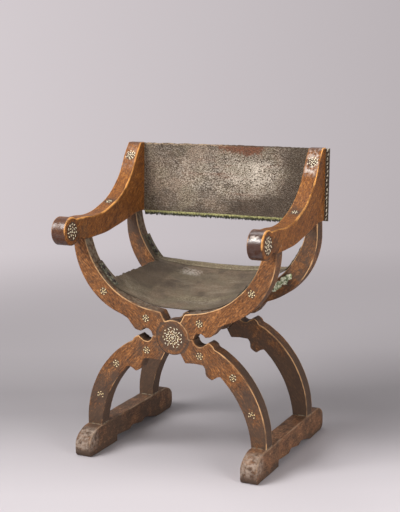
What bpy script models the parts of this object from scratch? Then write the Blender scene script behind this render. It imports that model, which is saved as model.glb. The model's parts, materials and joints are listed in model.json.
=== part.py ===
"""Folding armchair with two crossed wooden frames, a leather seat sling and a leather back.

Units are metres, +Z is up and the sitter looks along -Y. The two crosses stand one behind
the other. Each is a pair of curved members halved into each other at a round hip joint. One
member of each cross carries the left arm and stands on the right runner, the other carries
the right arm and stands on the left runner, so the chair folds about one long axis.
"""
import math

import bmesh
import bpy
from mathutils import Euler, Matrix, Vector

# Whole chair
pivot_height = 0.381
frame_spacing = 0.324
fit_gap = 0.0003
overrun = 0.004
arris_width = 0.0014

# Hip joint
hip_radius = 0.052
lap_gap = 0.0005
shoulder_degrees = 61.5
upper_crotch_radius = 0.082
lower_crotch_radius = 0.0836
pin_radius = 0.008
pin_head_radius = 0.015
pin_head_height = 0.004
pin_blind_depth = 0.015

# Crossed members
member_thickness = 0.044
eye_reach = 0.087
eye_radius = 0.020
slit_gap = 0.001
bow_inner_half_span = 0.294
bow_inner_radius = 0.254
bow_crown_height = 0.075
bow_top_width = 0.033
bow_radius_step = 0.025
bow_centre_drop = 0.057
bow_inner_start = 0.060
bow_outer_start = 0.165
leg_foot_width = 0.047
leg_radius_step = 0.001
leg_centre_rise = 0.036
leg_inner_half_span = 0.249
leg_inner_radius = 0.308
leg_crown_drop = 0.019
leg_outer_start = 0.150
leg_inner_start = 0.151
front_shoulder_height = 0.272
rear_shoulder_rise = 0.037
upper_tip_height = 0.010
lower_tip_drop = 0.012
leg_shelf_lift = 0.002
leg_shelf_reach = 0.097
leg_cusp_reach = 0.125
leg_cusp_drop = 0.115

# Tenons and their pegs
tenon_width = 0.020
tenon_depth = 0.024
front_tenon_height = 0.034
rear_tenon_height = 0.045
foot_tenon_height = 0.045
mortise_gap = 0.0004
peg_radius = 0.004
peg_length = 0.036
peg_rise = 0.018

# Runners
runner_width = 0.052
runner_height = 0.080
runner_lip = 0.003
toe_length = 0.075
toe_clearance = 0.002
toe_drop = 0.045
heel_length = 0.057
heel_clearance = 0.038
heel_drop = 0.038
sole_round = 0.012
front_pad_reach = 0.096
rear_pad_reach = 0.166
pad_step = 0.020

# Arms, each with its post and its scroll in one plank
arm_width = 0.046
arm_lip = 0.008
scroll_radius = 0.042
scroll_neck_length = 0.029
scroll_rise = 0.035
post_height = 0.222
post_top_depth = 0.024
post_rear_rake = 0.012
scroll_start_degrees = 52
scroll_end_degrees = 318
scroll_shoulder_share = 0.80
hollow_drop_share = 0.80

# Seat sling and its nailed bands
leather_thickness = 0.003
seat_front_inset = 0.025
seat_rear_overhang = 0.006
seat_hem = 0.001
seat_front_degrees = 60.0
seat_rear_degrees = 67.1
seat_side_degrees = 45.8
seat_corner_degrees = 39.0
seat_rear_height = 0.146
band_thickness = 0.002
seat_band_width = 0.020
seat_band_setback = 0.007
front_band_degrees = (39.5, 58.0)
rear_band_degrees = (50.0, 66.5)
seat_leave_degrees = 46.5

# Back panel, its fringe and its nailed bands
back_top_drop = 0.001
back_height = 0.220
back_overhang = 0.012
back_bow = 0.007
back_band_width = 0.030
fringe_radius = 0.005

# Nails
seat_nail_radius = 0.0075
seat_nail_height = 0.0042
seat_nail_spacing = 0.0215
back_nail_radius = 0.005
back_nail_height = 0.003
back_nail_spacing = 0.017
nail_seat = 0.0006

# Inlaid roundels
inlay_thickness = 0.0015
small_inlay_radius = 0.0115
hip_inlay_radius = 0.035
scroll_inlay_radius = 0.027
post_inlay_radius = 0.0155
bend_inlay_radius = 0.012
post_inlay_drop = 0.038
# Each small roundel: degrees round its bow or leg, and its inset from the edge there.
# A bow is measured from the lowest point of its inner arc, a leg from its outer arc's level.
left_bow_roundel_degrees = 42.0
left_bow_roundel_inset = 0.0285
right_bow_roundel_degrees = 50.1
right_bow_roundel_inset = 0.022
hip_bow_roundel_degrees = 9.6
hip_bow_roundel_inset = 0.029
hip_leg_roundel_degrees = 68.2
hip_leg_roundel_inset = 0.044
thigh_roundel_degrees = 43.3
thigh_roundel_inset = 0.028
shin_roundel_degrees = 18.4
shin_roundel_inset = 0.032

# Facets and turns
quarter_turn = math.radians(90)
bow_steps = 16
leg_steps = 12
disc_steps = 16
eye_steps = 8
round_steps = 8
scroll_steps = 22
lap_sides = 48
pin_sides = 16
peg_sides = 8
small_inlay_sides = 16
large_inlay_sides = 28
curve_steps = 3
nail_sides = 8
nail_rings = 2
band_steps = 8
band_across_steps = 1
back_up_steps = 2
seat_across_steps = 32
back_across_steps = 16
fringe_round_steps = 2
sharp_degrees = 32
facing_share = 0.9

# Outlines as shares. Each pair is along and up, and says what it is a share of.
# From the eye's upper tip to the end of the bow's outer arc.
upper_bracket_shares = [(0.26, 0.07), (0.41, 0.28), (0.57, 0.53), (0.68, 0.74), (0.80, 0.85)]
# From the eye's lower tip to the end of the leg's outer arc.
lower_bracket_shares = [(0.12, -0.36), (0.24, -0.36), (0.42, -0.10), (0.55, 0.16), (0.61, 0.55),
                        (0.80, 0.80)]
# From the leg's shelf to the point of its cusp.
cusp_front_shares = [(0.18, 0.17), (0.27, 0.38), (0.30, 0.62), (0.52, 0.82)]
# From the point of the cusp to the start of the leg's inner arc.
cusp_back_shares = [(0.26, 0.30), (0.60, 0.74), (0.82, 0.86)]
# Top edge of the arm from scroll to post: along the arm's length, up the post's height.
arm_top_shares = [(0.190, 0.148), (0.300, 0.130), (0.420, 0.150), (0.525, 0.205), (0.628, 0.278),
                  (0.708, 0.372), (0.772, 0.478), (0.828, 0.592), (0.868, 0.712), (0.908, 0.840)]
# Underside of the arm between its two seats: along the gap, up the rise.
arm_under_shares = [(0.10, 0.015), (0.30, 0.08), (0.50, 0.30), (0.70, 0.56), (0.88, 0.83)]
# Lobed underside of a runner between its pads: along the gap, up the step.
lobe_shares = [(0.000, 0.10), (0.006, 1.00), (0.060, 0.92), (0.220, 0.72), (0.310, 0.62),
               (0.345, 0.90), (0.390, 1.12), (0.500, 0.82), (0.620, 0.56), (0.690, 1.00),
               (0.760, 0.86), (0.900, 0.36)]
# Rosette on top of the arm's bend: how far along the arm.
bend_inlay_share = 0.58
# Rows of the seat from front to back, and how far each row's ends reach onto the bows.
seat_row_shares = [0.00, 0.085, 0.135, 0.26, 0.40, 0.54, 0.68, 0.80, 0.865, 1.00]
seat_reach_shares = [1.0, 1.0, 0.0, 0.0, 0.0, 0.0, 0.0, 0.0, 1.0, 1.0]

# Places worked out from the sizes above
half_thickness = member_thickness / 2
runner_front_reach = frame_spacing / 2 + half_thickness + toe_clearance + toe_length
runner_rear_reach = frame_spacing / 2 + half_thickness + heel_clearance + heel_length
scroll_front_reach = frame_spacing / 2 + half_thickness + scroll_neck_length + 2 * scroll_radius
frames_middle = (scroll_front_reach - runner_rear_reach) / 2
front_frame_y = frames_middle - frame_spacing / 2
rear_frame_y = frames_middle + frame_spacing / 2
bow_inner_centre_height = bow_crown_height + bow_inner_radius
bow_outer_half_span = bow_inner_half_span + bow_top_width
bow_outer_radius = bow_inner_radius - bow_radius_step
bow_outer_centre_height = bow_inner_centre_height - bow_centre_drop
leg_inner_centre_drop = leg_crown_drop + leg_inner_radius
leg_outer_half_span = leg_inner_half_span + leg_foot_width
leg_outer_radius = leg_inner_radius - leg_radius_step
leg_outer_centre_drop = leg_inner_centre_drop - leg_centre_rise
runner_inner_half_span = leg_inner_half_span - runner_lip
arm_inner_half_span = bow_inner_half_span - arm_lip
tip_reach = eye_reach + eye_radius
bow_centre_x = bow_inner_half_span - bow_inner_radius
leg_centre_x = leg_outer_half_span - leg_outer_radius
weld_distance = fit_gap / 10
foot_drop = pivot_height - runner_height
arm_outer_half_span = arm_inner_half_span + arm_width
rear_shoulder_height = front_shoulder_height + rear_shoulder_rise
scroll_height = front_shoulder_height + scroll_rise
post_top_height = scroll_height + post_height
back_top_height = post_top_height - back_top_drop
back_bottom_height = back_top_height - back_height
seat_front_reach = frame_spacing / 2 - seat_front_inset
seat_front_corner_reach = frame_spacing / 2 - seat_band_setback + seat_band_width / 2 + seat_hem
seat_rear_reach = frame_spacing / 2 + half_thickness + seat_rear_overhang
runner_outer_half_span = runner_inner_half_span + runner_width
scroll_centre_y = frames_middle - scroll_front_reach + scroll_radius
post_foot_y = rear_frame_y + half_thickness
arm_length = post_foot_y - scroll_centre_y
pin_inner_length = half_thickness + fit_gap + pin_head_height / 2
shoulder_angle = math.radians(shoulder_degrees)
frame_ends = [("front", front_frame_y, front_shoulder_height),
              ("rear", rear_frame_y, rear_shoulder_height)]

colours = {
    "walnut": ((0.20, 0.085, 0.035, 1.0), 0.42, 0.0),
    "seat_leather": ((0.085, 0.070, 0.055, 1.0), 0.55, 0.0),
    "back_leather": ((0.11, 0.085, 0.065, 1.0), 0.50, 0.0),
    "green_braid": ((0.20, 0.24, 0.07, 1.0), 0.90, 0.0),
    "old_band": ((0.09, 0.09, 0.07, 1.0), 0.80, 0.0),
    "iron": ((0.06, 0.05, 0.045, 1.0), 0.50, 1.0),
    "bone": ((0.72, 0.66, 0.50, 1.0), 0.40, 0.0),
}


def clear_scene():
    """Remove every object that the file starts with."""
    for ob in list(bpy.data.objects):
        bpy.data.objects.remove(ob, do_unlink=True)


def make_collection(name):
    """Return a new collection linked under the scene."""
    group = bpy.data.collections.new(name)
    bpy.context.scene.collection.children.link(group)
    return group


def make_material(name):
    """Return a plain material from the table of colours."""
    colour, roughness, metallic = colours[name]
    material = bpy.data.materials.new(name)
    material.use_nodes = True
    shader = material.node_tree.nodes["Principled BSDF"]
    shader.inputs["Base Color"].default_value = colour
    shader.inputs["Roughness"].default_value = roughness
    shader.inputs["Metallic"].default_value = metallic
    material.diffuse_color = colour
    return material


clear_scene()
chair = make_collection("folding_armchair")
cutters = make_collection("cutters")
materials = {name: make_material(name) for name in colours}


def make_body(name):
    """Return the empty on the fold axis that carries one half of the chair."""
    empty = bpy.data.objects.new(name, None)
    empty.location = (0, frames_middle, pivot_height)
    chair.objects.link(empty)
    return empty


left_frame = make_body("left_frame")
right_frame = make_body("right_frame")


def add_object(name, mesh, body, material, location=(0, 0, 0), rotation=(0, 0, 0)):
    """Put a mesh in the chair as a named piece, carried by a body's empty."""
    ob = bpy.data.objects.new(name, mesh)
    chair.objects.link(ob)
    ob.parent = body
    ob.location = Vector(location) - body.location
    ob.rotation_euler = rotation
    mesh.materials.clear()
    mesh.materials.append(materials[material])
    return ob


def add_cutter(name, mesh, location=(0, 0, 0), rotation=(0, 0, 0)):
    """Put a mesh among the cutters, hidden from the render."""
    ob = bpy.data.objects.new(name, mesh)
    cutters.objects.link(ob)
    ob.location = location
    ob.rotation_euler = rotation
    ob.hide_render = True
    ob.display_type = "WIRE"
    return ob


def combine(ob, cutter, operation="DIFFERENCE"):
    """Cut a piece with a cutter, or join the cutter to it."""
    boolean = ob.modifiers.new(operation.lower(), "BOOLEAN")
    boolean.operation = operation
    boolean.solver = "EXACT"
    boolean.object = cutter


def mesh_from(name, build):
    """Return a mesh filled in by a function that takes a bmesh."""
    mesh = bpy.data.meshes.new(name)
    shape = bmesh.new()
    build(shape)
    shape.to_mesh(mesh)
    shape.free()
    return mesh


def box_mesh(name, size):
    """Return a box of the given size about its own centre."""
    def build(shape):
        bmesh.ops.create_cube(shape, size=1, matrix=Matrix.Diagonal(Vector(size).to_4d()))
    return mesh_from(name, build)


def cylinder_mesh(name, radius, depth, sides):
    """Return a closed cylinder along its own Z, about its centre, smooth round its wall."""
    def build(shape):
        bmesh.ops.create_cone(shape, cap_ends=True, segments=sides, radius1=radius, radius2=radius,
                              depth=depth)
    mesh = mesh_from(name, build)
    shade(mesh)
    return mesh


def shade(mesh):
    """Shade a mesh smooth and keep its sharp edges."""
    mesh.shade_smooth()
    mesh.set_sharp_from_angle(angle=math.radians(sharp_degrees))


def arc(centre, radius, start, end, steps):
    """Return points along an arc with both ends, angles in radians."""
    return [(centre[0] + radius * math.cos(start + (end - start) * i / steps),
             centre[1] + radius * math.sin(start + (end - start) * i / steps))
            for i in range(steps + 1)]


def angle_of(point, centre):
    """Return the angle of a point seen from a centre."""
    return math.atan2(point[1] - centre[1], point[0] - centre[0])


def between(start, end, shares):
    """Return points at shares of the way from start to end, each axis by itself."""
    return [(start[0] + (end[0] - start[0]) * a, start[1] + (end[1] - start[1]) * b)
            for a, b in shares]


def polar(radius, angle):
    """Return the point at a radius and an angle about the pivot."""
    return (radius * math.cos(angle), radius * math.sin(angle))


def smooth_through(points, steps):
    """Return points along a Catmull-Rom curve through the given points."""
    padded = [points[0]] + list(points) + [points[-1]]
    curve = []
    for a, b, c, d in zip(padded, padded[1:], padded[2:], padded[3:]):
        for i in range(steps):
            t = i / steps
            curve.append(tuple(0.5 * (2 * b[k] + (c[k] - a[k]) * t
                                      + (2 * a[k] - 5 * b[k] + 4 * c[k] - d[k]) * t ** 2
                                      + (3 * b[k] - a[k] - 3 * c[k] + d[k]) * t ** 3)
                               for k in (0, 1)))
    curve.append(points[-1])
    return curve


def plank_mesh(name, points, thickness):
    """Return a plank cut to an outline, its flat faces square to its own Z.

    The outline is a filled 2D curve with depth. Its caps are welded and joined to one face
    each, and the rims of both faces are marked for the bevel that softens them.
    """
    curve = bpy.data.curves.new(name, "CURVE")
    curve.dimensions = "2D"
    curve.fill_mode = "BOTH"
    curve.extrude = thickness / 2
    spline = curve.splines.new("POLY")
    spline.points.add(len(points) - 1)
    for knot, (x, y) in zip(spline.points, points):
        knot.co = (x, y, 0, 1)
    spline.use_cyclic_u = True
    holder = bpy.data.objects.new(name, curve)
    cutters.objects.link(holder)
    evaluated = holder.evaluated_get(bpy.context.evaluated_depsgraph_get())
    mesh = bpy.data.meshes.new_from_object(evaluated)
    bpy.data.objects.remove(holder, do_unlink=True)
    bpy.data.curves.remove(curve)

    shape = bmesh.new()
    shape.from_mesh(mesh)
    bmesh.ops.remove_doubles(shape, verts=shape.verts, dist=weld_distance)
    bmesh.ops.recalc_face_normals(shape, faces=shape.faces)
    for side in (1, -1):
        cap = [face for face in shape.faces if face.normal.z * side > facing_share]
        bmesh.ops.dissolve_faces(shape, faces=cap)
    weights = shape.edges.layers.float.new("bevel_weight_edge")
    for edge in shape.edges:
        upright = [abs(face.normal.z) > facing_share for face in edge.link_faces]
        edge[weights] = 1.0 if any(upright) and not all(upright) else 0.0
    shape.to_mesh(mesh)
    shape.free()
    mesh.name = name
    return mesh


def soften(ob):
    """Take the arrises off a plank with a narrow bevel on its marked rims."""
    bevel = ob.modifiers.new("arrises", "BEVEL")
    bevel.limit_method = "WEIGHT"
    bevel.width = arris_width
    bevel.segments = 1
    bevel.use_clamp_overlap = True


def bow_points(shoulder_height):
    """Return the right upper bow from the hip's slit outwards, up, over and down to the hip."""
    outer_centre = (bow_outer_half_span - bow_outer_radius, bow_outer_centre_height)
    inner_centre = (bow_centre_x, bow_inner_centre_height)
    slit = slit_gap / 2
    eye = (eye_reach, 0)
    tip = (tip_reach, upper_tip_height)
    slit_edge = math.asin(slit / hip_radius)
    slit_at_eye = math.pi - math.asin(slit / eye_radius)
    points = [polar(hip_radius, slit_edge)]
    points += arc(eye, eye_radius, slit_at_eye, angle_of(tip, eye), eye_steps)

    drop = math.sqrt(bow_outer_radius ** 2 - (bow_outer_start - outer_centre[0]) ** 2)
    arc_end = (bow_outer_start, outer_centre[1] - drop)
    points += [tip] + between(tip, arc_end, upper_bracket_shares)
    points += arc(outer_centre, bow_outer_radius, angle_of(arc_end, outer_centre), 0, bow_steps)
    if shoulder_height > outer_centre[1]:
        points.append((bow_outer_half_span, shoulder_height))

    top_angle = math.asin((shoulder_height - inner_centre[1]) / bow_inner_radius)
    drop = math.sqrt(bow_inner_radius ** 2 - (bow_inner_start - inner_centre[0]) ** 2)
    arc_start = (bow_inner_start, inner_centre[1] - drop)
    points += arc(inner_centre, bow_inner_radius, top_angle, angle_of(arc_start, inner_centre),
                  bow_steps)
    points += [polar(upper_crotch_radius, shoulder_angle), polar(hip_radius, shoulder_angle)]
    return points


def leg_points():
    """Return the right lower leg from the hip's shoulder down its inside and up its outside."""
    outer_centre = (leg_centre_x, -leg_outer_centre_drop)
    inner_centre = (leg_inner_half_span - leg_inner_radius, -leg_inner_centre_drop)
    slit = slit_gap / 2
    eye = (eye_reach, 0)
    corner = polar(lower_crotch_radius, -shoulder_angle)
    shelf_end = (leg_shelf_reach, corner[1])
    shelf_middle = ((corner[0] + shelf_end[0]) / 2, corner[1] + leg_shelf_lift)
    cusp = (leg_cusp_reach, -leg_cusp_drop)
    points = [polar(hip_radius, -shoulder_angle), corner, shelf_middle, shelf_end]
    points += between(shelf_end, cusp, cusp_front_shares) + [cusp]

    rise = math.sqrt(leg_inner_radius ** 2 - (leg_inner_start - inner_centre[0]) ** 2)
    arc_start = (leg_inner_start, inner_centre[1] + rise)
    foot_angle = math.asin((-foot_drop - inner_centre[1]) / leg_inner_radius)
    points += between(cusp, arc_start, cusp_back_shares)
    points += arc(inner_centre, leg_inner_radius, angle_of(arc_start, inner_centre), foot_angle,
                  leg_steps)

    rise = math.sqrt(leg_outer_radius ** 2 - (leg_outer_start - outer_centre[0]) ** 2)
    arc_end = (leg_outer_start, outer_centre[1] + rise)
    foot_angle = math.asin((-foot_drop - outer_centre[1]) / leg_outer_radius)
    points += arc(outer_centre, leg_outer_radius, foot_angle, angle_of(arc_end, outer_centre),
                  leg_steps)

    tip = (tip_reach, -lower_tip_drop)
    points += between(tip, arc_end, lower_bracket_shares)[::-1] + [tip]
    slit_at_eye = math.pi + math.asin(slit / eye_radius)
    tip_angle = angle_of(tip, eye) + 2 * math.pi
    points += arc(eye, eye_radius, tip_angle, slit_at_eye, eye_steps)
    points.append(polar(hip_radius, -math.asin(slit / hip_radius)))
    return points


def member_points(shoulder_height, side):
    """Return a member's whole outline about the pivot.

    Side 1 is the member that stands on the right runner and carries the left arm. Side -1 is
    its mirror image.
    """
    slit_edge = math.asin(slit_gap / 2 / hip_radius)
    leg = leg_points()
    bow = [(-x, z) for x, z in reversed(bow_points(shoulder_height))]
    top_arc = arc((0, 0), hip_radius, -slit_edge, math.pi - shoulder_angle, disc_steps)
    low_arc = arc((0, 0), hip_radius, math.pi - slit_edge, 2 * math.pi - shoulder_angle,
                  disc_steps)
    outline = leg + top_arc[1:-1] + bow + low_arc[1:-1]
    if side < 0:
        outline = [(-x, z) for x, z in reversed(outline)]
    return outline


def outside(frame_y):
    """Return -1 for the front frame and 1 for the rear one: the side its show faces look to."""
    return -1 if frame_y < frames_middle else 1


def tenon_places(frame_y, shoulder_height, side):
    """Return the member's two tenons as name, centre of the joint face, height and direction."""
    tenon_height = front_tenon_height if outside(frame_y) < 0 else rear_tenon_height
    rise = shoulder_height - bow_inner_centre_height
    bow_inner_x = bow_centre_x + math.sqrt(bow_inner_radius ** 2 - rise ** 2)
    bow_x = (bow_inner_x + bow_outer_half_span) / 2
    leg_x = runner_inner_half_span + runner_width / 2
    return [("top", Vector((-side * bow_x, frame_y, pivot_height + shoulder_height)), tenon_height, 1),
            ("foot", Vector((side * leg_x, frame_y, runner_height)), foot_tenon_height, -1)]


def peg_place(seat, direction, face_half_span):
    """Return the centre of the peg that crosses a tenon from the outer face inwards."""
    side = 1 if seat.x > 0 else -1
    x = side * (face_half_span - peg_length / 2)
    return Vector((x, seat.y, seat.z + direction * peg_rise))


def make_member(name, frame_y, shoulder_height, side, body, inlays):
    """Make one curved member with its half of the hip joint and its tenons."""
    mesh = plank_mesh(name, member_points(shoulder_height, side), member_thickness)
    ob = add_object(name, mesh, body, "walnut", (0, frame_y, pivot_height),
                    (quarter_turn, 0, 0))
    soften(ob)
    outer = outside(frame_y)
    disc_side = outer * side

    lap_depth = half_thickness + fit_gap / 2 + overrun
    lap_y = frame_y + disc_side * (fit_gap / 2 - lap_depth / 2)
    lap = cylinder_mesh(name + "_lap", hip_radius + lap_gap, lap_depth, lap_sides)
    combine(ob, add_cutter(lap.name, lap, (0, lap_y, pivot_height), (quarter_turn, 0, 0)))

    pin_depth = member_thickness * 2 if side < 0 else pin_blind_depth * 2
    pin_hole = cylinder_mesh(name + "_pin_hole", pin_radius + fit_gap, pin_depth, pin_sides)
    combine(ob, add_cutter(pin_hole.name, pin_hole, (0, frame_y, pivot_height), (quarter_turn, 0, 0)))

    for key, seat, height, direction in tenon_places(frame_y, shoulder_height, side):
        size = (tenon_width, tenon_depth, height + overrun)
        centre = seat + Vector((0, 0, direction * (height - overrun) / 2))
        tenon = box_mesh(name + "_" + key + "_tenon", size)
        combine(ob, add_cutter(tenon.name, tenon, centre), "UNION")
        face = arm_outer_half_span if direction > 0 else runner_outer_half_span
        add_peg_hole(ob, name + "_" + key, peg_place(seat, direction, face))

    for x, z, radius, sides in inlays:
        add_pocket(ob, (x, frame_y + outer * half_thickness, pivot_height + z),
                   (quarter_turn, 0, 0), radius, sides)
    return ob


def add_peg_hole(ob, label, place):
    """Cut the hole of the peg at a place."""
    hole = cylinder_mesh(label + "_peg_hole", peg_radius + fit_gap, peg_length + 2 * fit_gap, peg_sides)
    combine(ob, add_cutter(hole.name, hole, place, (0, quarter_turn, 0)))


def add_mortise(ob, label, seat, height, direction):
    """Cut the mortise of a tenon that starts at a seat, clear of it all round."""
    size = (tenon_width + 2 * mortise_gap, tenon_depth + 2 * mortise_gap,
            height + mortise_gap + overrun)
    centre = seat + Vector((0, 0, direction * (height + mortise_gap - overrun) / 2))
    mortise = box_mesh(label + "_mortise", size)
    combine(ob, add_cutter(mortise.name, mortise, centre))


def add_pocket(ob, face_point, rotation, radius, sides):
    """Cut the shallow round pocket that an inlaid roundel lies in."""
    depth = 2 * (inlay_thickness + fit_gap)
    name = ob.name + "_pocket"
    pocket = add_cutter(name, cylinder_mesh(name, radius + fit_gap, depth, sides), face_point, rotation)
    combine(ob, pocket)


def make_roundel(name, body, face_point, normal, rotation, radius, sides):
    """Make one inlaid roundel, flush in its pocket."""
    centre = Vector(face_point) - Vector(normal) * inlay_thickness / 2
    mesh = cylinder_mesh(name, radius, inlay_thickness, sides)
    return add_object(name, mesh, body, "bone", centre, rotation)


def make_pivot_pin(name, frame_y):
    """Make the iron pin of one hip joint, blind in the show disc, headed inside the frame."""
    outer = outside(frame_y)
    tip_y = frame_y + outer * (pin_blind_depth - fit_gap)
    inner_y = frame_y - outer * pin_inner_length
    shank = cylinder_mesh(name, pin_radius, abs(tip_y - inner_y), pin_sides)
    centre = (0, (tip_y + inner_y) / 2, pivot_height)
    ob = add_object(name, shank, left_frame, "iron", centre, (quarter_turn, 0, 0))

    head_y = frame_y - outer * (half_thickness + fit_gap + pin_head_height / 2)
    head = cylinder_mesh(name + "_head", pin_head_radius, pin_head_height, pin_sides)
    head_place = (0, head_y, pivot_height)
    combine(ob, add_cutter(head.name, head, head_place, (quarter_turn, 0, 0)), "UNION")
    return ob


def arm_top_points():
    """Return the arm's top edge from the scroll to the foot of the post's top."""
    return [(a * arm_length, b * post_height) for a, b in arm_top_shares]


def arm_points():
    """Return the arm's outline about the scroll's centre: along the arm, then up."""
    front_seat = front_frame_y - scroll_centre_y
    front_drop = front_shoulder_height - scroll_height
    rear_drop = rear_shoulder_height - scroll_height
    hollow = ((front_seat - half_thickness + scroll_radius) / 2, front_drop * hollow_drop_share)
    points = arc((0, 0), scroll_radius, math.radians(scroll_start_degrees),
                 math.radians(scroll_end_degrees), scroll_steps)
    points += [hollow, (front_seat - half_thickness, front_drop)]
    under_start = (front_seat + half_thickness, front_drop)
    under_end = (arm_length - member_thickness, rear_drop)
    under = [under_start] + between(under_start, under_end, arm_under_shares) + [under_end]
    points += smooth_through(under, curve_steps)
    points += [(arm_length, rear_drop), (arm_length + post_rear_rake, post_height)]
    top = [(arm_length + post_rear_rake - post_top_depth, post_height)] + arm_top_points()[::-1]
    top.append((scroll_radius, scroll_radius * scroll_shoulder_share))
    points += smooth_through(top, curve_steps)
    return points


def bend_place():
    """Return the arm-top rosette's place and the slope of the top edge there."""
    edge = smooth_through(arm_top_points(), curve_steps)
    centre = bend_inlay_share * arm_length
    before = max(point for point in edge if point[0] <= centre - bend_inlay_radius / 2)
    after = min(point for point in edge if point[0] >= centre + bend_inlay_radius / 2)
    share = (centre - before[0]) / (after[0] - before[0])
    place = (centre, before[1] + (after[1] - before[1]) * share)
    return place, math.atan2(after[1] - before[1], after[0] - before[0])


def post_front_place():
    """Return the post-front rosette's place and the slope of the post's front there."""
    top_front = (arm_length + post_rear_rake - post_top_depth, post_height)
    below = arm_top_points()[-1]
    slope = math.atan2(top_front[1] - below[1], top_front[0] - below[0])
    place = (top_front[0] - post_inlay_drop * math.cos(slope) / math.sin(slope),
             top_front[1] - post_inlay_drop)
    return place, slope


def make_arm(name, side, body):
    """Make one arm with its post and scroll, its mortises and its roundels."""
    centre_x = side * (arm_inner_half_span + arm_width / 2)
    origin = Vector((centre_x, scroll_centre_y, pivot_height + scroll_height))
    mesh = plank_mesh(name, arm_points(), arm_width)
    ob = add_object(name, mesh, body, "walnut", origin, (quarter_turn, 0, quarter_turn))
    soften(ob)

    for end, frame_y, shoulder in frame_ends:
        seat, height, direction = tenon_places(frame_y, shoulder, -side)[0][1:]
        label = name + "_" + end
        place = peg_place(seat, direction, arm_outer_half_span)
        add_mortise(ob, label, seat, height, direction)
        add_peg_hole(ob, label, place)
        make_peg(label + "_peg", place, body)

    for key, face_x, normal_x in (("outer", arm_width / 2, 1), ("inner", -arm_width / 2, -1)):
        point = origin + Vector((side * face_x, 0, 0))
        turn = (0, quarter_turn, 0)
        add_pocket(ob, point, turn, scroll_inlay_radius, large_inlay_sides)
        make_roundel(name + "_" + key + "_rosette", body, point, (side * normal_x, 0, 0), turn,
                     scroll_inlay_radius, large_inlay_sides)

    for key, (place, slope), radius in (("bend", bend_place(), bend_inlay_radius),
                                        ("post", post_front_place(), post_inlay_radius)):
        normal = Vector((0, -math.sin(slope), math.cos(slope)))
        point = origin + Vector((0, place[0], place[1]))
        turn = (slope, 0, 0)
        add_pocket(ob, point, turn, radius, small_inlay_sides)
        make_roundel(name + "_" + key + "_rosette", body, point, normal, turn, radius,
                     small_inlay_sides)
    return ob


def make_peg(name, centre, body):
    """Make one wooden peg across a tenon."""
    mesh = cylinder_mesh(name, peg_radius, peg_length, peg_sides)
    return add_object(name, mesh, body, "walnut", centre, (0, quarter_turn, 0))


def runner_points():
    """Return the runner's outline about the frames' middle: rearwards, then up from the floor."""
    toe_centre = (-runner_front_reach + toe_length, runner_height - toe_drop)
    heel_centre = (runner_rear_reach - heel_length, runner_height - heel_drop)
    points = [(toe_centre[0] - toe_length * math.sin(a), toe_centre[1] + toe_drop * math.cos(a))
              for a in (quarter_turn * i / round_steps for i in range(round_steps + 1))]
    sole = quarter_turn
    front_sole = (-runner_front_reach + sole_round, sole_round)
    rear_sole = (runner_rear_reach - 2 * sole_round, 2 * sole_round)
    points += arc(front_sole, sole_round, 2 * sole, 3 * sole, round_steps // 2)
    pads = ((-front_pad_reach, 0), (rear_pad_reach, pad_step))
    points += [(-front_pad_reach, 0)] + between(*pads, lobe_shares) + [(rear_pad_reach, 0)]
    points += arc(rear_sole, 2 * sole_round, -sole, 0, round_steps // 2)
    points += [(heel_centre[0] + heel_length * math.cos(a), heel_centre[1] + heel_drop * math.sin(a))
               for a in (quarter_turn * i / round_steps for i in range(round_steps + 1))]
    return points


def make_runner(name, side, body):
    """Make one runner with the mortises for its two legs."""
    centre_x = side * (runner_inner_half_span + runner_width / 2)
    mesh = plank_mesh(name, runner_points(), runner_width)
    ob = add_object(name, mesh, body, "walnut", (centre_x, frames_middle, 0),
                    (quarter_turn, 0, quarter_turn))
    soften(ob)
    for end, frame_y, shoulder in frame_ends:
        seat, height, direction = tenon_places(frame_y, shoulder, side)[1][1:]
        label = name + "_" + end
        place = peg_place(seat, direction, runner_outer_half_span)
        add_mortise(ob, label, seat, height, direction)
        add_peg_hole(ob, label, place)
        make_peg(label + "_peg", place, body)
    return ob


def bow_inner_height(x):
    """Return the height above the pivot of the bows' inner edge at a distance from the middle."""
    away = max(abs(x) - bow_centre_x, 0)
    return bow_inner_centre_height - math.sqrt(bow_inner_radius ** 2 - away ** 2)


def smooth_step(value):
    """Return 0 below 0, 1 above 1 and an easy curve between."""
    value = min(max(value, 0), 1)
    return value * value * (3 - 2 * value)


def sheet_mesh(name, columns, rows, place):
    """Return an open sheet whose points a function places from two shares from 0 to 1."""
    def build(shape):
        bmesh.ops.create_grid(shape, x_segments=columns, y_segments=rows, size=1)
        for vert in shape.verts:
            vert.co = place((vert.co.x + 1) / 2, (vert.co.y + 1) / 2)
    return mesh_from(name, build)


def thicken(ob, thickness):
    """Give a sheet its thickness on the side its faces look to."""
    solid = ob.modifiers.new("thickness", "SOLIDIFY")
    solid.thickness = thickness
    solid.offset = 1
    solid.use_even_offset = True


def bow_span(degrees):
    """Return the half span of the bows' inner edge at an angle from its lowest point."""
    return bow_centre_x + bow_inner_radius * math.sin(math.radians(degrees))


def bow_length(x):
    """Return the length along the bows' inner edge from the middle out to a half span."""
    return bow_centre_x + bow_inner_radius * math.asin((x - bow_centre_x) / bow_inner_radius)


def bow_half_span(length):
    """Return the half span at a length along the bows' inner edge from the middle."""
    beyond = max(length - bow_centre_x, 0) / bow_inner_radius
    return min(length, bow_centre_x) + bow_inner_radius * math.sin(beyond)


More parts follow.
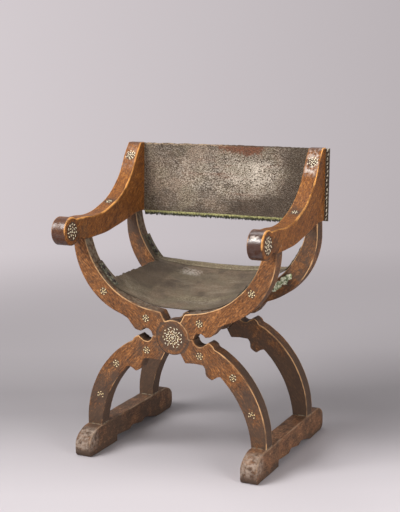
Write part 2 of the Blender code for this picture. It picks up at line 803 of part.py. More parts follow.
def seat_point(across, back):
    """Return a point of the seat's underside from its shares across and towards the back."""
    row = round(back * (len(seat_row_shares) - 1))
    along = seat_row_shares[row]
    end_degrees = seat_front_degrees if along < 0.5 else seat_rear_degrees
    side_span = bow_span(seat_side_degrees)
    half_span = side_span + (bow_span(end_degrees) - side_span) * seat_reach_shares[row]
    x = bow_half_span(abs(2 * across - 1) * bow_length(half_span))
    corner_span = bow_span(seat_corner_degrees)
    beyond = (x - corner_span) / (bow_span(seat_front_degrees) - corner_span)
    front = -seat_front_reach - (seat_front_corner_reach - seat_front_reach) * smooth_step(beyond)
    y = front + (seat_rear_reach - front) * along
    lying = bow_inner_height(x)
    leave = bow_span(seat_leave_degrees)
    fall = (bow_inner_height(leave) - seat_rear_height) * min(x / leave, 1) ** 2
    hung = max(seat_rear_height + fall, lying) if x < leave else lying
    height = lying + (hung - lying) * smooth_step(along)
    side = 1 if across > 0.5 else -1
    return Vector((side * x, frames_middle + y, pivot_height + height + 2 * fit_gap))


def make_seat():
    """Make the leather sling, slack at the front and drawn up at the rear."""
    mesh = sheet_mesh("seat_leather", seat_across_steps, len(seat_row_shares) - 1, seat_point)
    shade(mesh)
    ob = add_object("seat_leather", mesh, left_frame, "seat_leather")
    thicken(ob, leather_thickness)
    return ob


def nail_shares(length, spacing):
    """Return the places along a band of as many nails as fit, as shares of its length."""
    count = int(length / spacing)
    return [(i + 0.5) / count for i in range(count)]


def dome(shape, centre, axis_matrix, radius, height):
    """Add one domed nail head, its flat side sunk by the seat depth."""
    head = bmesh.ops.create_uvsphere(shape, u_segments=nail_sides, v_segments=2 * nail_rings, radius=1)
    scale = Matrix.Diagonal(Vector((radius, radius, height)).to_4d())
    for vert in head["verts"]:
        vert.co.z = max(vert.co.z, 0)
    bmesh.ops.transform(shape, verts=head["verts"], matrix=scale)
    move = Matrix.Translation(centre) @ axis_matrix @ Matrix.Translation((0, 0, -nail_seat))
    bmesh.ops.transform(shape, verts=head["verts"], matrix=move)
    bmesh.ops.remove_doubles(shape, verts=head["verts"], dist=weld_distance)


def make_seat_band(name, frame_y, side, body):
    """Make one braid band on the seat's end, with its row of domed nails."""
    degrees = front_band_degrees if frame_y < frames_middle else rear_band_degrees
    start, end = (math.radians(value) for value in degrees)
    under_radius = bow_inner_radius - 4 * fit_gap - leather_thickness
    y_middle = frame_y + seat_band_setback

    def on_bow(share, y, lift):
        angle = start + (end - start) * share
        radius = under_radius - lift
        return Vector((side * (bow_centre_x + radius * math.sin(angle)), y,
                       pivot_height + bow_inner_centre_height - radius * math.cos(angle)))

    def place(along, across):
        return on_bow(along if side > 0 else 1 - along,
                      y_middle + (across - 0.5) * seat_band_width, 0)

    ob = add_object(name, sheet_mesh(name, band_steps, band_across_steps, place), body, "old_band")
    thicken(ob, band_thickness)

    def build(shape):
        for share in nail_shares((end - start) * under_radius, seat_nail_spacing):
            angle = start + (end - start) * share
            tilt = Euler((0, -side * angle, 0)).to_matrix().to_4x4()
            centre = on_bow(share, y_middle, band_thickness)
            dome(shape, centre, tilt, seat_nail_radius, seat_nail_height)
    combine(ob, add_cutter(name + "_nails", mesh_from(name + "_nails", build)), "UNION")
    return ob


def post_rear_y(height):
    """Return the y of the posts' raked rear faces at a height above the pivot."""
    share = (height - rear_shoulder_height) / (post_top_height - rear_shoulder_height)
    return post_foot_y + post_rear_rake * share


def back_point(across, up, lift):
    """Return a point behind the posts from its shares across and up, lifted off them."""
    half_span = arm_outer_half_span + back_overhang
    x = (2 * across - 1) * half_span
    height = back_bottom_height + back_height * up
    free = max(1 - (x / arm_inner_half_span) ** 2, 0)
    return Vector((x, post_rear_y(height) + lift + back_bow * free, pivot_height + height))


def make_back():
    """Make the leather back panel behind the posts."""
    mesh = sheet_mesh("back_leather", back_across_steps, back_up_steps,
                      lambda across, up: back_point(1 - across, up, fit_gap))
    shade(mesh)
    ob = add_object("back_leather", mesh, left_frame, "back_leather")
    thicken(ob, leather_thickness)
    return ob


def make_back_band(name, side, body):
    """Make one nailed band that holds the back panel's end to its post."""
    centre_x = side * (arm_inner_half_span + arm_width / 2)
    lift = 2 * fit_gap + leather_thickness
    rake = math.atan2(post_rear_rake, post_top_height - rear_shoulder_height)

    def place(across, up):
        height = back_bottom_height + back_height * up
        return Vector((centre_x - (across - 0.5) * back_band_width, post_rear_y(height) + lift,
                       pivot_height + height))

    ob = add_object(name, sheet_mesh(name, band_across_steps, back_up_steps, place), body, "old_band")
    thicken(ob, band_thickness)

    def build(shape):
        tilt = Euler((-quarter_turn - rake, 0, 0)).to_matrix().to_4x4()
        for share in nail_shares(back_height, back_nail_spacing):
            height = back_bottom_height + back_height * share
            rear_y = post_rear_y(height) + lift + band_thickness
            centre = Vector((centre_x, rear_y, pivot_height + height))
            dome(shape, centre, tilt, back_nail_radius, back_nail_height)
    combine(ob, add_cutter(name + "_nails", mesh_from(name + "_nails", build)), "UNION")
    return ob


def make_fringe():
    """Make the green fringe under the back panel's lower edge, between the posts."""
    curve = bpy.data.curves.new("back_fringe", "CURVE")
    curve.dimensions = "3D"
    curve.bevel_depth = fringe_radius
    curve.bevel_resolution = fringe_round_steps
    curve.use_fill_caps = True
    spline = curve.splines.new("POLY")
    spline.points.add(back_across_steps)
    height = back_bottom_height - fringe_radius - fit_gap
    for i, knot in enumerate(spline.points):
        x = (2 * i / back_across_steps - 1) * (arm_inner_half_span - fit_gap)
        free = max(1 - (x / arm_inner_half_span) ** 2, 0)
        y = post_rear_y(back_bottom_height) + fit_gap + leather_thickness / 2 + back_bow * free
        knot.co = (x, y - frames_middle, height, 1)
    ob = bpy.data.objects.new("back_fringe", curve)
    chair.objects.link(ob)
    ob.parent = left_frame
    curve.materials.append(materials["green_braid"])
    return ob


def bow_place(degrees, inset):
    """Return a place on the right bow, out from its inner edge and up from the pivot."""
    angle = math.radians(degrees)
    radius = bow_inner_radius + inset
    return (bow_centre_x + radius * math.sin(angle), bow_inner_centre_height - radius * math.cos(angle))


def leg_place(degrees, inset):
    """Return a place on the right leg, in from its outer edge and up from the pivot."""
    angle = math.radians(degrees)
    radius = leg_outer_radius - inset
    return (leg_centre_x + radius * math.cos(angle), radius * math.sin(angle) - leg_outer_centre_drop)


def inlay_list(side, outer):
    """Return the pockets of one front member: its bow is at -side, its leg at side."""
    if outer > 0:
        return []
    if side > 0:
        bow = bow_place(left_bow_roundel_degrees, left_bow_roundel_inset)
    else:
        bow = bow_place(right_bow_roundel_degrees, right_bow_roundel_inset)
    bows = [bow, bow_place(hip_bow_roundel_degrees, hip_bow_roundel_inset)]
    legs = [leg_place(hip_leg_roundel_degrees, hip_leg_roundel_inset),
            leg_place(thigh_roundel_degrees, thigh_roundel_inset),
            leg_place(shin_roundel_degrees, shin_roundel_inset)]
    places = [(-side * x, z) for x, z in bows] + [(side * x, z) for x, z in legs]
    pockets = [(x, z, small_inlay_radius, small_inlay_sides) for x, z in places]
    if side > 0:
        pockets.append((0, 0, hip_inlay_radius, large_inlay_sides))
    return pockets


def make_cross(label, frame_y, shoulder_height):
    """Make one cross: its two members, its pin and its inlaid roundels."""
    outer = outside(frame_y)
    for letter, side, body in (("a", 1, left_frame), ("b", -1, right_frame)):
        inlays = inlay_list(side, outer)
        make_member(label + "_member_" + letter, frame_y, shoulder_height, side, body, inlays)
        for number, (x, z, radius, sides) in enumerate(inlays, 1):
            large = radius > small_inlay_radius
            name = "hip_rosette" if large else "roundel_" + letter + str(number)
            face = (x, frame_y + outer * half_thickness, pivot_height + z)
            make_roundel(name, body, face, (0, outer, 0), (quarter_turn, 0, 0), radius, sides)
    make_pivot_pin(label + "_pivot_pin", frame_y)


def build_chair():
    """Make every piece of the chair."""
    for end, frame_y, shoulder in frame_ends:
        make_cross(end, frame_y, shoulder)
    for label, side, body in (("left", -1, left_frame), ("right", 1, right_frame)):
        make_arm(label + "_arm", side, body)
        make_back_band(label + "_back_band", side, body)
        make_seat_band(label + "_front_seat_band", front_frame_y, side, body)
        make_seat_band(label + "_rear_seat_band", rear_frame_y, side, body)
    make_runner("right_runner", 1, left_frame)
    make_runner("left_runner", -1, right_frame)
    make_seat()
    make_back()
    make_fringe()


build_chair()
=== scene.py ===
"""A folding armchair of worn walnut with a leather seat, a leather back and bone inlay.

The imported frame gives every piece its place. This script dresses it: planks with worn arrises
and sawn grain, rosettes of bone slivers, old leather, braid, iron nails and a green fringe.
"""

import json
import logging
import math
from dataclasses import dataclass, field
from enum import Enum
from functools import cache
from typing import Callable, NamedTuple, Sequence

import bmesh
import bpy
import numpy as np
from bpy.types import ID, Material, Mesh, Node, NodeSocket, NodeTree, Object
from mathutils import Euler, Matrix, Vector, noise
from mathutils.geometry import delaunay_2d_cdt
from mathutils.kdtree import KDTree

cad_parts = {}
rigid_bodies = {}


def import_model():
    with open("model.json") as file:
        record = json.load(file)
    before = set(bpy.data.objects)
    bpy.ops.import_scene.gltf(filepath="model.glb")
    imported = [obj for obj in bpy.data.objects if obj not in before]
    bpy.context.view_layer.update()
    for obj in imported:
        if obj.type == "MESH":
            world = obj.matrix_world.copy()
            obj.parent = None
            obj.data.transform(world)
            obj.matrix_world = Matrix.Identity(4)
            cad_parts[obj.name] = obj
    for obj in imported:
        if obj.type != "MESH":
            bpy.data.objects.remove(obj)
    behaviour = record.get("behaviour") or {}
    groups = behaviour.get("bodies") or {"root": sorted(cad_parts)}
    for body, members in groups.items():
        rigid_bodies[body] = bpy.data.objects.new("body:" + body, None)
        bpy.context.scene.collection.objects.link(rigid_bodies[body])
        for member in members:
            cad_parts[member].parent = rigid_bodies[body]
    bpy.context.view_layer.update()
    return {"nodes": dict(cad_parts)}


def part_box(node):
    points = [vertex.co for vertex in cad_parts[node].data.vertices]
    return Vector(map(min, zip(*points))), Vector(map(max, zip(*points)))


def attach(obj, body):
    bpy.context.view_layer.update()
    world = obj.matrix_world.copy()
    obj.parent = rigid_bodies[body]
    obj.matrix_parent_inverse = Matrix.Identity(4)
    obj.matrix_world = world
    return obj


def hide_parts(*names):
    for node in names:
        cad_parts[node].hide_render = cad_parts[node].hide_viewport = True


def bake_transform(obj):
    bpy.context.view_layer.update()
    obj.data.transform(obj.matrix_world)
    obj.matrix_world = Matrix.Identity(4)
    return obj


for leftover in list(bpy.data.objects):
    bpy.data.objects.remove(leftover, do_unlink=True)
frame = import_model()

log = logging.getLogger("armchair")
Point = tuple[float, float]
Triple = tuple[float, float, float]
Colour = Triple
LEFT, RIGHT = "left_frame", "right_frame"
QUARTER_TURN = math.pi / 2


class Labelled(Enum):
    """A choice whose name is part of the nodes' names."""

    @property
    def label(self) -> str:
        """Return the name as the nodes have it."""
        return self.name.lower()


class Side(Labelled):
    """The side of the chair as seen from the front, with the sign of its x."""

    LEFT = -1
    RIGHT = 1

    @property
    def arm_body(self) -> str:
        """Return the body that carries this side's arm."""
        return LEFT if self is Side.LEFT else RIGHT

    @property
    def runner_body(self) -> str:
        """Return the body that carries this side's runner."""
        return RIGHT if self is Side.LEFT else LEFT


class End(Labelled):
    """The front cross or the rear one, with the sign of its show face."""

    FRONT = -1
    REAR = 1


@dataclass(frozen=True)
class ChairSizes:
    """Sizes of the chair in metres, as the frame has them."""

    pivot_height: float = 0.381
    frames_middle: float = 0.009
    frame_spacing: float = 0.324
    member_thickness: float = 0.044
    joint_reach: float = 0.003
    hip_radius: float = 0.052
    lap_gap: float = 0.0005
    fit_gap: float = 0.0003
    shoulder_angle: float = math.radians(61.5)
    upper_crotch_radius: float = 0.082
    lower_crotch_radius: float = 0.0836
    eye_reach: float = 0.087
    eye_radius: float = 0.02
    slit_gap: float = 0.001
    bow_inner_half_span: float = 0.294
    bow_inner_radius: float = 0.254
    bow_inner_centre_height: float = 0.329
    bow_outer_half_span: float = 0.327
    bow_outer_radius: float = 0.229
    bow_outer_centre_height: float = 0.272
    bow_inner_start: float = 0.06
    bow_outer_start: float = 0.165
    leg_inner_half_span: float = 0.249
    leg_inner_radius: float = 0.308
    leg_inner_centre_drop: float = 0.327
    leg_outer_half_span: float = 0.296
    leg_outer_radius: float = 0.307
    leg_outer_centre_drop: float = 0.291
    leg_outer_start: float = 0.15
    leg_inner_start: float = 0.151
    upper_tip_height: float = 0.01
    lower_tip_drop: float = 0.012
    leg_shelf_lift: float = 0.002
    leg_shelf_reach: float = 0.097
    leg_cusp_reach: float = 0.125
    leg_cusp_drop: float = 0.115
    front_shoulder_height: float = 0.272
    rear_shoulder_height: float = 0.309
    runner_height: float = 0.08
    runner_inner_half_span: float = 0.246
    runner_width: float = 0.052
    runner_front_reach: float = 0.261
    runner_rear_reach: float = 0.279
    toe_length: float = 0.075
    toe_drop: float = 0.045
    heel_length: float = 0.057
    heel_drop: float = 0.038
    sole_round: float = 0.012
    front_pad_reach: float = 0.096
    rear_pad_reach: float = 0.166
    pad_step: float = 0.02
    arm_inner_half_span: float = 0.286
    arm_width: float = 0.046
    scroll_radius: float = 0.042
    scroll_height: float = 0.307
    scroll_centre_y: float = -0.246
    post_foot_y: float = 0.193
    post_height: float = 0.222
    post_top_depth: float = 0.024
    post_rear_rake: float = 0.012
    leather_thickness: float = 0.003
    back_bottom_height: float = 0.308
    back_height: float = 0.22
    back_overhang: float = 0.012
    back_bow: float = 0.007

    @property
    def bow_centre_x(self) -> float:
        """Return how far out the bows' inner arcs are centred."""
        return self.bow_inner_half_span - self.bow_inner_radius

    @property
    def foot_drop(self) -> float:
        """Return how far below the pivot the legs stand on the runners."""
        return self.pivot_height - self.runner_height

    @property
    def arm_length(self) -> float:
        """Return the arm's length from the scroll's centre to the post's foot."""
        return self.post_foot_y - self.scroll_centre_y

    @property
    def arm_outer_half_span(self) -> float:
        """Return the half span over the arms."""
        return self.arm_inner_half_span + self.arm_width

    def frame_y(self, end: End) -> float:
        """Return the middle plane of one cross."""
        return self.frames_middle + end.value * self.frame_spacing / 2

    def shoulder_height(self, end: End) -> float:
        """Return the height above the pivot at which a cross carries the arms."""
        return self.front_shoulder_height if end is End.FRONT else self.rear_shoulder_height


SIZES = ChairSizes()
UPPER_BRACKET = [(0.26, 0.07), (0.41, 0.28), (0.57, 0.53), (0.68, 0.74), (0.8, 0.85)]
LOWER_BRACKET = [(0.12, -0.36), (0.24, -0.36), (0.42, -0.1), (0.55, 0.16), (0.61, 0.55), (0.8, 0.8)]
CUSP_FRONT = [(0.18, 0.17), (0.27, 0.38), (0.3, 0.62), (0.52, 0.82)]
CUSP_BACK = [(0.26, 0.3), (0.6, 0.74), (0.82, 0.86)]
ARM_TOP = [(0.19, 0.148), (0.3, 0.13), (0.42, 0.15), (0.525, 0.205), (0.628, 0.278), (0.708, 0.372),
           (0.772, 0.478), (0.828, 0.592), (0.868, 0.712), (0.908, 0.84)]
ARM_UNDER = [(0.1, 0.015), (0.3, 0.08), (0.5, 0.3), (0.7, 0.56), (0.88, 0.83)]
LOBES = [(0, 0.1), (0.006, 1), (0.06, 0.92), (0.22, 0.72), (0.31, 0.62), (0.345, 0.9), (0.39, 1.12),
         (0.5, 0.82), (0.62, 0.56), (0.69, 1), (0.76, 0.86), (0.9, 0.36)]
CURVE_STEPS = 8
BRACKET_STEPS = 4
ARC_STEPS = 48
TRIANGLE_RISE = 0.866


def arc(centre: Point, radius: float, start: float, end: float, steps: int = ARC_STEPS) -> list[Point]:
    """Return the points of an arc from one angle to another, in radians, with both its ends."""
    turns = (start + (end - start) * i / steps for i in range(steps + 1))
    return [(centre[0] + radius * math.cos(t), centre[1] + radius * math.sin(t)) for t in turns]


def angle_of(point: Point, centre: Point) -> float:
    """Return the angle of a point seen from a centre."""
    return math.atan2(point[1] - centre[1], point[0] - centre[0])


def half_chord(radius: float, away: float) -> float:
    """Return half a circle's width at a distance from its middle."""
    return math.sqrt(radius ** 2 - away ** 2)


def between(start: Point, end: Point, shares: Sequence[Point]) -> list[Point]:
    """Return points at shares of the way from start to end, each axis by itself."""
    return [(start[0] + (end[0] - start[0]) * a, start[1] + (end[1] - start[1]) * b) for a, b in shares]


def polar(radius: float, angle: float) -> Point:
    """Return the point at a radius and an angle about the pivot."""
    return radius * math.cos(angle), radius * math.sin(angle)


def groove_circles(radius: float, half_width: float) -> tuple[tuple[Point, float], ...]:
    """Return the centre and radius of three circles: a round groove's line between its two edges."""
    return tuple(((0.0, 0.0), radius + k * half_width) for k in (-1, 0, 1))


def smooth_through(points: Sequence[Point], steps: int = CURVE_STEPS) -> list[Point]:
    """Draw a Catmull-Rom curve.

    Args:
        points: The points that it goes through.
        steps: Chords between two of them.

    Returns:
        The points along the curve.
    """
    padded = [points[0], *points, points[-1]]
    curve = []
    for a, b, c, d in zip(padded, padded[1:], padded[2:], padded[3:]):
        for t in (i / steps for i in range(steps)):
            curve.append(tuple(0.5 * (2 * b[k] + (c[k] - a[k]) * t
                                      + (2 * a[k] - 5 * b[k] + 4 * c[k] - d[k]) * t ** 2
                                      + (3 * b[k] - a[k] - 3 * c[k] + d[k]) * t ** 3) for k in (0, 1)))
    return curve + [points[-1]]


def eased(value: float, start: float, end: float) -> float:
    """Return 0 up to the start, 1 from the end on, and an easy curve between."""
    share = min(max((value - start) / (end - start), 0.0), 1.0)
    return share * share * (3 - 2 * share)


def wave(x: float, y: float, seed: float = 0.0) -> float:
    """Return a smooth random value from about -1 to 1."""
    return noise.noise(Vector((x, y, seed)))


class Outlines:
    """The outlines of the planks, each in its plank's own plane."""

    @staticmethod
    def bow(shoulder: float) -> list[Point]:
        """Draw the right upper bow.

        Args:
            shoulder: The height above the pivot at which it carries the arm.

        Returns:
            Its points from the hip's slit round to the hip.
        """
        s = SIZES
        outer = (s.bow_outer_half_span - s.bow_outer_radius, s.bow_outer_centre_height)
        inner = (s.bow_centre_x, s.bow_inner_centre_height)
        eye, tip = (s.eye_reach, 0.0), (s.eye_reach + s.eye_radius, s.upper_tip_height)
        slit = s.slit_gap / 2
        points = [polar(s.hip_radius, math.asin(slit / s.hip_radius))]
        points += arc(eye, s.eye_radius, math.pi - math.asin(slit / s.eye_radius), angle_of(tip, eye))
        arc_end = (s.bow_outer_start,
                   outer[1] - half_chord(s.bow_outer_radius, s.bow_outer_start - outer[0]))
        points += smooth_through([tip, *between(tip, arc_end, UPPER_BRACKET), arc_end], BRACKET_STEPS)
        points += arc(outer, s.bow_outer_radius, angle_of(arc_end, outer), 0)
        top_angle = math.asin((shoulder - inner[1]) / s.bow_inner_radius)
        inner_top = inner[0] + s.bow_inner_radius * math.cos(top_angle)
        points += [(x, shoulder + s.joint_reach) for x in (s.bow_outer_half_span, inner_top)]
        arc_start = (s.bow_inner_start,
                     inner[1] - half_chord(s.bow_inner_radius, s.bow_inner_start - inner[0]))
        points += arc(inner, s.bow_inner_radius, top_angle, angle_of(arc_start, inner))
        return points + [polar(radius, s.shoulder_angle)
                         for radius in (s.upper_crotch_radius, s.hip_radius)]

    @staticmethod
    def leg() -> list[Point]:
        """Draw the right lower leg.

        Returns:
            Its points from the hip's shoulder round to the hip's slit.
        """
        s = SIZES
        outer = (s.leg_outer_half_span - s.leg_outer_radius, -s.leg_outer_centre_drop)
        inner = (s.leg_inner_half_span - s.leg_inner_radius, -s.leg_inner_centre_drop)
        eye, tip = (s.eye_reach, 0.0), (s.eye_reach + s.eye_radius, -s.lower_tip_drop)
        slit = s.slit_gap / 2
        corner = polar(s.lower_crotch_radius, -s.shoulder_angle)
        shelf_end = (s.leg_shelf_reach, corner[1])
        shelf_middle = ((corner[0] + shelf_end[0]) / 2, corner[1] + s.leg_shelf_lift)
        cusp = (s.leg_cusp_reach, -s.leg_cusp_drop)
        points = [polar(s.hip_radius, -s.shoulder_angle), corner, shelf_middle]
        points += smooth_through([shelf_end, *between(shelf_end, cusp, CUSP_FRONT), cusp],
                                 BRACKET_STEPS)
        arc_start = (s.leg_inner_start,
                     inner[1] + half_chord(s.leg_inner_radius, s.leg_inner_start - inner[0]))
        foot_angle = math.asin((-s.foot_drop - inner[1]) / s.leg_inner_radius)
        points += smooth_through([cusp, *between(cusp, arc_start, CUSP_BACK), arc_start],
                                 BRACKET_STEPS)[1:]
        inside = arc(inner, s.leg_inner_radius, angle_of(arc_start, inner), foot_angle)
        arc_end = (s.leg_outer_start,
                   outer[1] + half_chord(s.leg_outer_radius, s.leg_outer_start - outer[0]))
        foot_angle = math.asin((-s.foot_drop - outer[1]) / s.leg_outer_radius)
        outside = arc(outer, s.leg_outer_radius, foot_angle, angle_of(arc_end, outer))
        foot = [(x, z - s.joint_reach) for x, z in (inside[-1], outside[0])]
        points += inside + foot + outside
        points += smooth_through([tip, *between(tip, arc_end, LOWER_BRACKET), arc_end],
                                 BRACKET_STEPS)[::-1]
        points += arc(eye, s.eye_radius, angle_of(tip, eye) + 2 * math.pi,
                      math.pi + math.asin(slit / s.eye_radius))
        return points + [polar(s.hip_radius, -math.asin(slit / s.hip_radius))]

    @classmethod
    def member(cls, end: End, side: int) -> list[Point]:
        """Draw a member about the pivot.

        Args:
            end: The cross that the member belongs to.
            side: 1 for the member that stands on the right runner, -1 for its mirror image.

        Returns:
            The outline, anticlockwise.
        """
        slit_edge = math.asin(SIZES.slit_gap / 2 / SIZES.hip_radius)
        bow = [(-x, z) for x, z in reversed(cls.bow(SIZES.shoulder_height(end)))]
        turn = SIZES.shoulder_angle
        top = arc((0, 0), SIZES.hip_radius, -slit_edge, math.pi - turn)[1:-1]
        low = arc((0, 0), SIZES.hip_radius, math.pi - slit_edge, 2 * math.pi - turn)[1:-1]
        outline = cls.leg() + top + bow + low
        return outline if side > 0 else [(-x, z) for x, z in reversed(outline)]

    @staticmethod
    def arm() -> list[Point]:
        """Draw the arm about the scroll's centre.

        Returns:
            The outline: along the arm, then up.
        """
        s = SIZES
        half = s.member_thickness / 2
        front_seat = s.frame_y(End.FRONT) - s.scroll_centre_y
        front_drop, rear_drop = (s.shoulder_height(end) - s.scroll_height for end in End)
        hollow = ((front_seat - half + s.scroll_radius) / 2, front_drop * 0.8)
        points = arc((0, 0), s.scroll_radius, math.radians(52), math.radians(318), 2 * ARC_STEPS)
        points += [hollow, (front_seat - half, front_drop)]
        start = (front_seat + half, front_drop)
        end = (s.arm_length - s.member_thickness, rear_drop)
        points += smooth_through([start, *between(start, end, ARM_UNDER), end])
        rear_top = s.arm_length + s.post_rear_rake
        points += [(s.arm_length, rear_drop), (rear_top, s.post_height)]
        edge = [(a * s.arm_length, b * s.post_height) for a, b in ARM_TOP[::-1]]
        top = [(rear_top - s.post_top_depth, s.post_height), *edge]
        return points + smooth_through([*top, (s.scroll_radius, s.scroll_radius * 0.8)])

    @staticmethod
    def runner() -> list[Point]:
        """Draw the runner about the frames' middle.

        Returns:
            The outline: rearwards, then up.
        """
        s = SIZES
        toe = (-s.runner_front_reach + s.toe_length, s.runner_height - s.toe_drop)
        heel = (s.runner_rear_reach - s.heel_length, s.runner_height - s.heel_drop)
        turns = [QUARTER_TURN * i / 24 for i in range(25)]
        points = [(toe[0] - s.toe_length * math.sin(a), toe[1] + s.toe_drop * math.cos(a))
                  for a in turns]
        bend = s.sole_round
        points += arc((-s.runner_front_reach + bend, bend), bend, math.pi, 1.5 * math.pi, CURVE_STEPS)
        pads = ((-s.front_pad_reach, 0.0), (s.rear_pad_reach, s.pad_step))
        points += [pads[0], *between(*pads, LOBES), (s.rear_pad_reach, 0.0)]
        points += arc((s.runner_rear_reach - 2 * bend, 2 * bend), 2 * bend, -QUARTER_TURN, 0,
                      CURVE_STEPS)
        return points + [(heel[0] + s.heel_length * math.cos(a), heel[1] + s.heel_drop * math.sin(a))
                         for a in turns]


class Value:
    """A node's output that takes part in sums as a number does."""

    def __init__(self, sheet: "NodeSheet", socket: NodeSocket) -> None:
        """Keep the output and the sheet that it is on."""
        self.sheet, self.socket = sheet, socket

    def __add__(self, other: object) -> "Value":
        """Return the sum."""
        return self.sheet.maths("ADD", self, other)

    def __sub__(self, other: object) -> "Value":
        """Return the difference."""
        return self.sheet.maths("SUBTRACT", self, other)

    def __rsub__(self, other: object) -> "Value":
        """Return a number less this value."""
        return self.sheet.maths("SUBTRACT", other, self)

    def __mul__(self, other: object) -> "Value":
        """Return the product."""
        return self.sheet.maths("MULTIPLY", self, other)

    def __truediv__(self, other: object) -> "Value":
        """Return the quotient."""
        return self.sheet.maths("DIVIDE", self, other)


class NodeSheet:
    """Adds and joins the nodes of one tree."""

    def __init__(self, tree: NodeTree) -> None:
        """Keep the tree."""
        self.tree = tree

    def add(self, kind: str, inputs: dict | None = None, **settings: object) -> Node:
        """Add a node.

        Args:
            kind: The node's type name.
            inputs: Values, colours or other nodes' outputs, by the name or number of their input.
            settings: The node's own properties.

        Returns:
            The node.
        """
        node = self.tree.nodes.new(kind)
        for key, value in settings.items():
            setattr(node, key, value)
        for key, value in (inputs or {}).items():
            if isinstance(value, Value):
                self.tree.links.new(value.socket, node.inputs[key])
            else:
                coloured = node.inputs[key].type == "RGBA"
                node.inputs[key].default_value = (*value, 1) if coloured else value
        return node

    def out(self, kind: str, inputs: dict | None = None, output: int | str = 0,
            **settings: object) -> Value:
        """Add a node and return one of its outputs."""
        return Value(self, self.add(kind, inputs, **settings).outputs[output])

    def outputs(self, node: Node) -> dict[str, Value]:
        """Return a node's outputs by name."""
        return {socket.name: Value(self, socket) for socket in node.outputs}

    def group(self, tree: NodeTree, **inputs: object) -> dict[str, Value]:
        """Place a group and return its outputs by name."""
        return self.outputs(self.add("ShaderNodeGroup", inputs, node_tree=tree))

    def maths(self, operation: str, *values: object, clamp: bool = False) -> Value:
        """Return the result of a maths node."""
        return self.out("ShaderNodeMath", dict(enumerate(values)), operation=operation, use_clamp=clamp)

    def vector(self, operation: str, first: object, second: object, output: str = "Vector") -> Value:
        """Return the result of a vector node; a scale's second value is its factor."""
        slot = "Scale" if operation == "SCALE" else 1
        return self.out("ShaderNodeVectorMath", {0: first, slot: second}, output, operation=operation)

    def joined(self, x: object = 0.0, y: object = 0.0, z: object = 0.0) -> Value:
        """Return a vector of three values."""
        return self.out("ShaderNodeCombineXYZ", {0: x, 1: y, 2: z})

    def ease(self, value: object, low: float, high: float, bottom: object = 0.0,
             top: object = 1.0) -> Value:
        """Return a value carried smoothly from one range to another."""
        return self.out("ShaderNodeMapRange", {0: value, 1: low, 2: high, 3: bottom, 4: top},
                        interpolation_type="SMOOTHSTEP")

    def mix(self, share: object, first: object, second: object, blend: str = "MIX") -> Value:
        """Return two colours mixed by a share."""
        return self.out("ShaderNodeMix", {0: share, 6: first, 7: second}, 2, data_type="RGBA",
                        blend_type=blend)

    def noise(self, place: Value, scale: float, detail: float = 4.0, roughness: float = 0.55,
              distortion: float = 0.0, stretch: Triple | None = None, output: str = "Fac") -> Value:
        """Return a noise.

        Args:
            place: The coordinates that it reads.
            scale: Its spots in a metre.
            detail: How many finer noises it holds.
            roughness: How strong these are.
            distortion: How far it swirls.
            stretch: A scale for each axis.
            output: "Fac" for a value from 0 to 1, or "Color".

        Returns:
            The noise.
        """
        if stretch:
            place = self.out("ShaderNodeMapping", {"Vector": place, "Scale": stretch})
        return self.out("ShaderNodeTexNoise", {"Vector": place, "Scale": scale, "Detail": detail,
                                               "Roughness": roughness, "Distortion": distortion}, output)

    def ramp(self, value: Value, stops: Sequence[tuple[float, Colour]]) -> Value:
        """Return the colour that a value picks.

        Args:
            value: The value, from 0 to 1.
            stops: Place and colour of each stop.

        Returns:
            The colour.
        """
        node = self.add("ShaderNodeValToRGB", {0: value})
        elements = node.color_ramp.elements
        while len(elements) < len(stops):
            elements.new(0.5)
        for element, (place, colour) in zip(elements, stops):
            element.position, element.color = place, (*colour, 1)
        return Value(self, node.outputs[0])

    def attribute(self, name: str, output: str = "Fac") -> Value:
        """Return what the piece's own mesh keeps at its points."""
        return self.out("ShaderNodeAttribute", None, output, attribute_name=name)

    def own(self) -> Value:
        """Return the piece's own coordinates in metres."""
        return self.out("ShaderNodeTexCoord", None, "Object")


def new_tree(name: str, kind: str, inputs: dict[str, str],
             outputs: dict[str, str]) -> tuple[NodeSheet, dict[str, Value]]:
    """Start a tree with named sockets.

    Args:
        name: The tree's name.
        kind: Its type name.
        inputs: The kind of each input by its name.
        outputs: The kind of each output by its name.

    Returns:
        The tree's sheet, and its inputs by name.
    """
    tree = bpy.data.node_groups.new(name, kind)
    for way, sockets in (("INPUT", inputs), ("OUTPUT", outputs)):
        for label, socket in sockets.items():
            tree.interface.new_socket(name=label, in_out=way, socket_type="NodeSocket" + socket)
    sheet = NodeSheet(tree)
    return sheet, sheet.outputs(sheet.add("NodeGroupInput"))


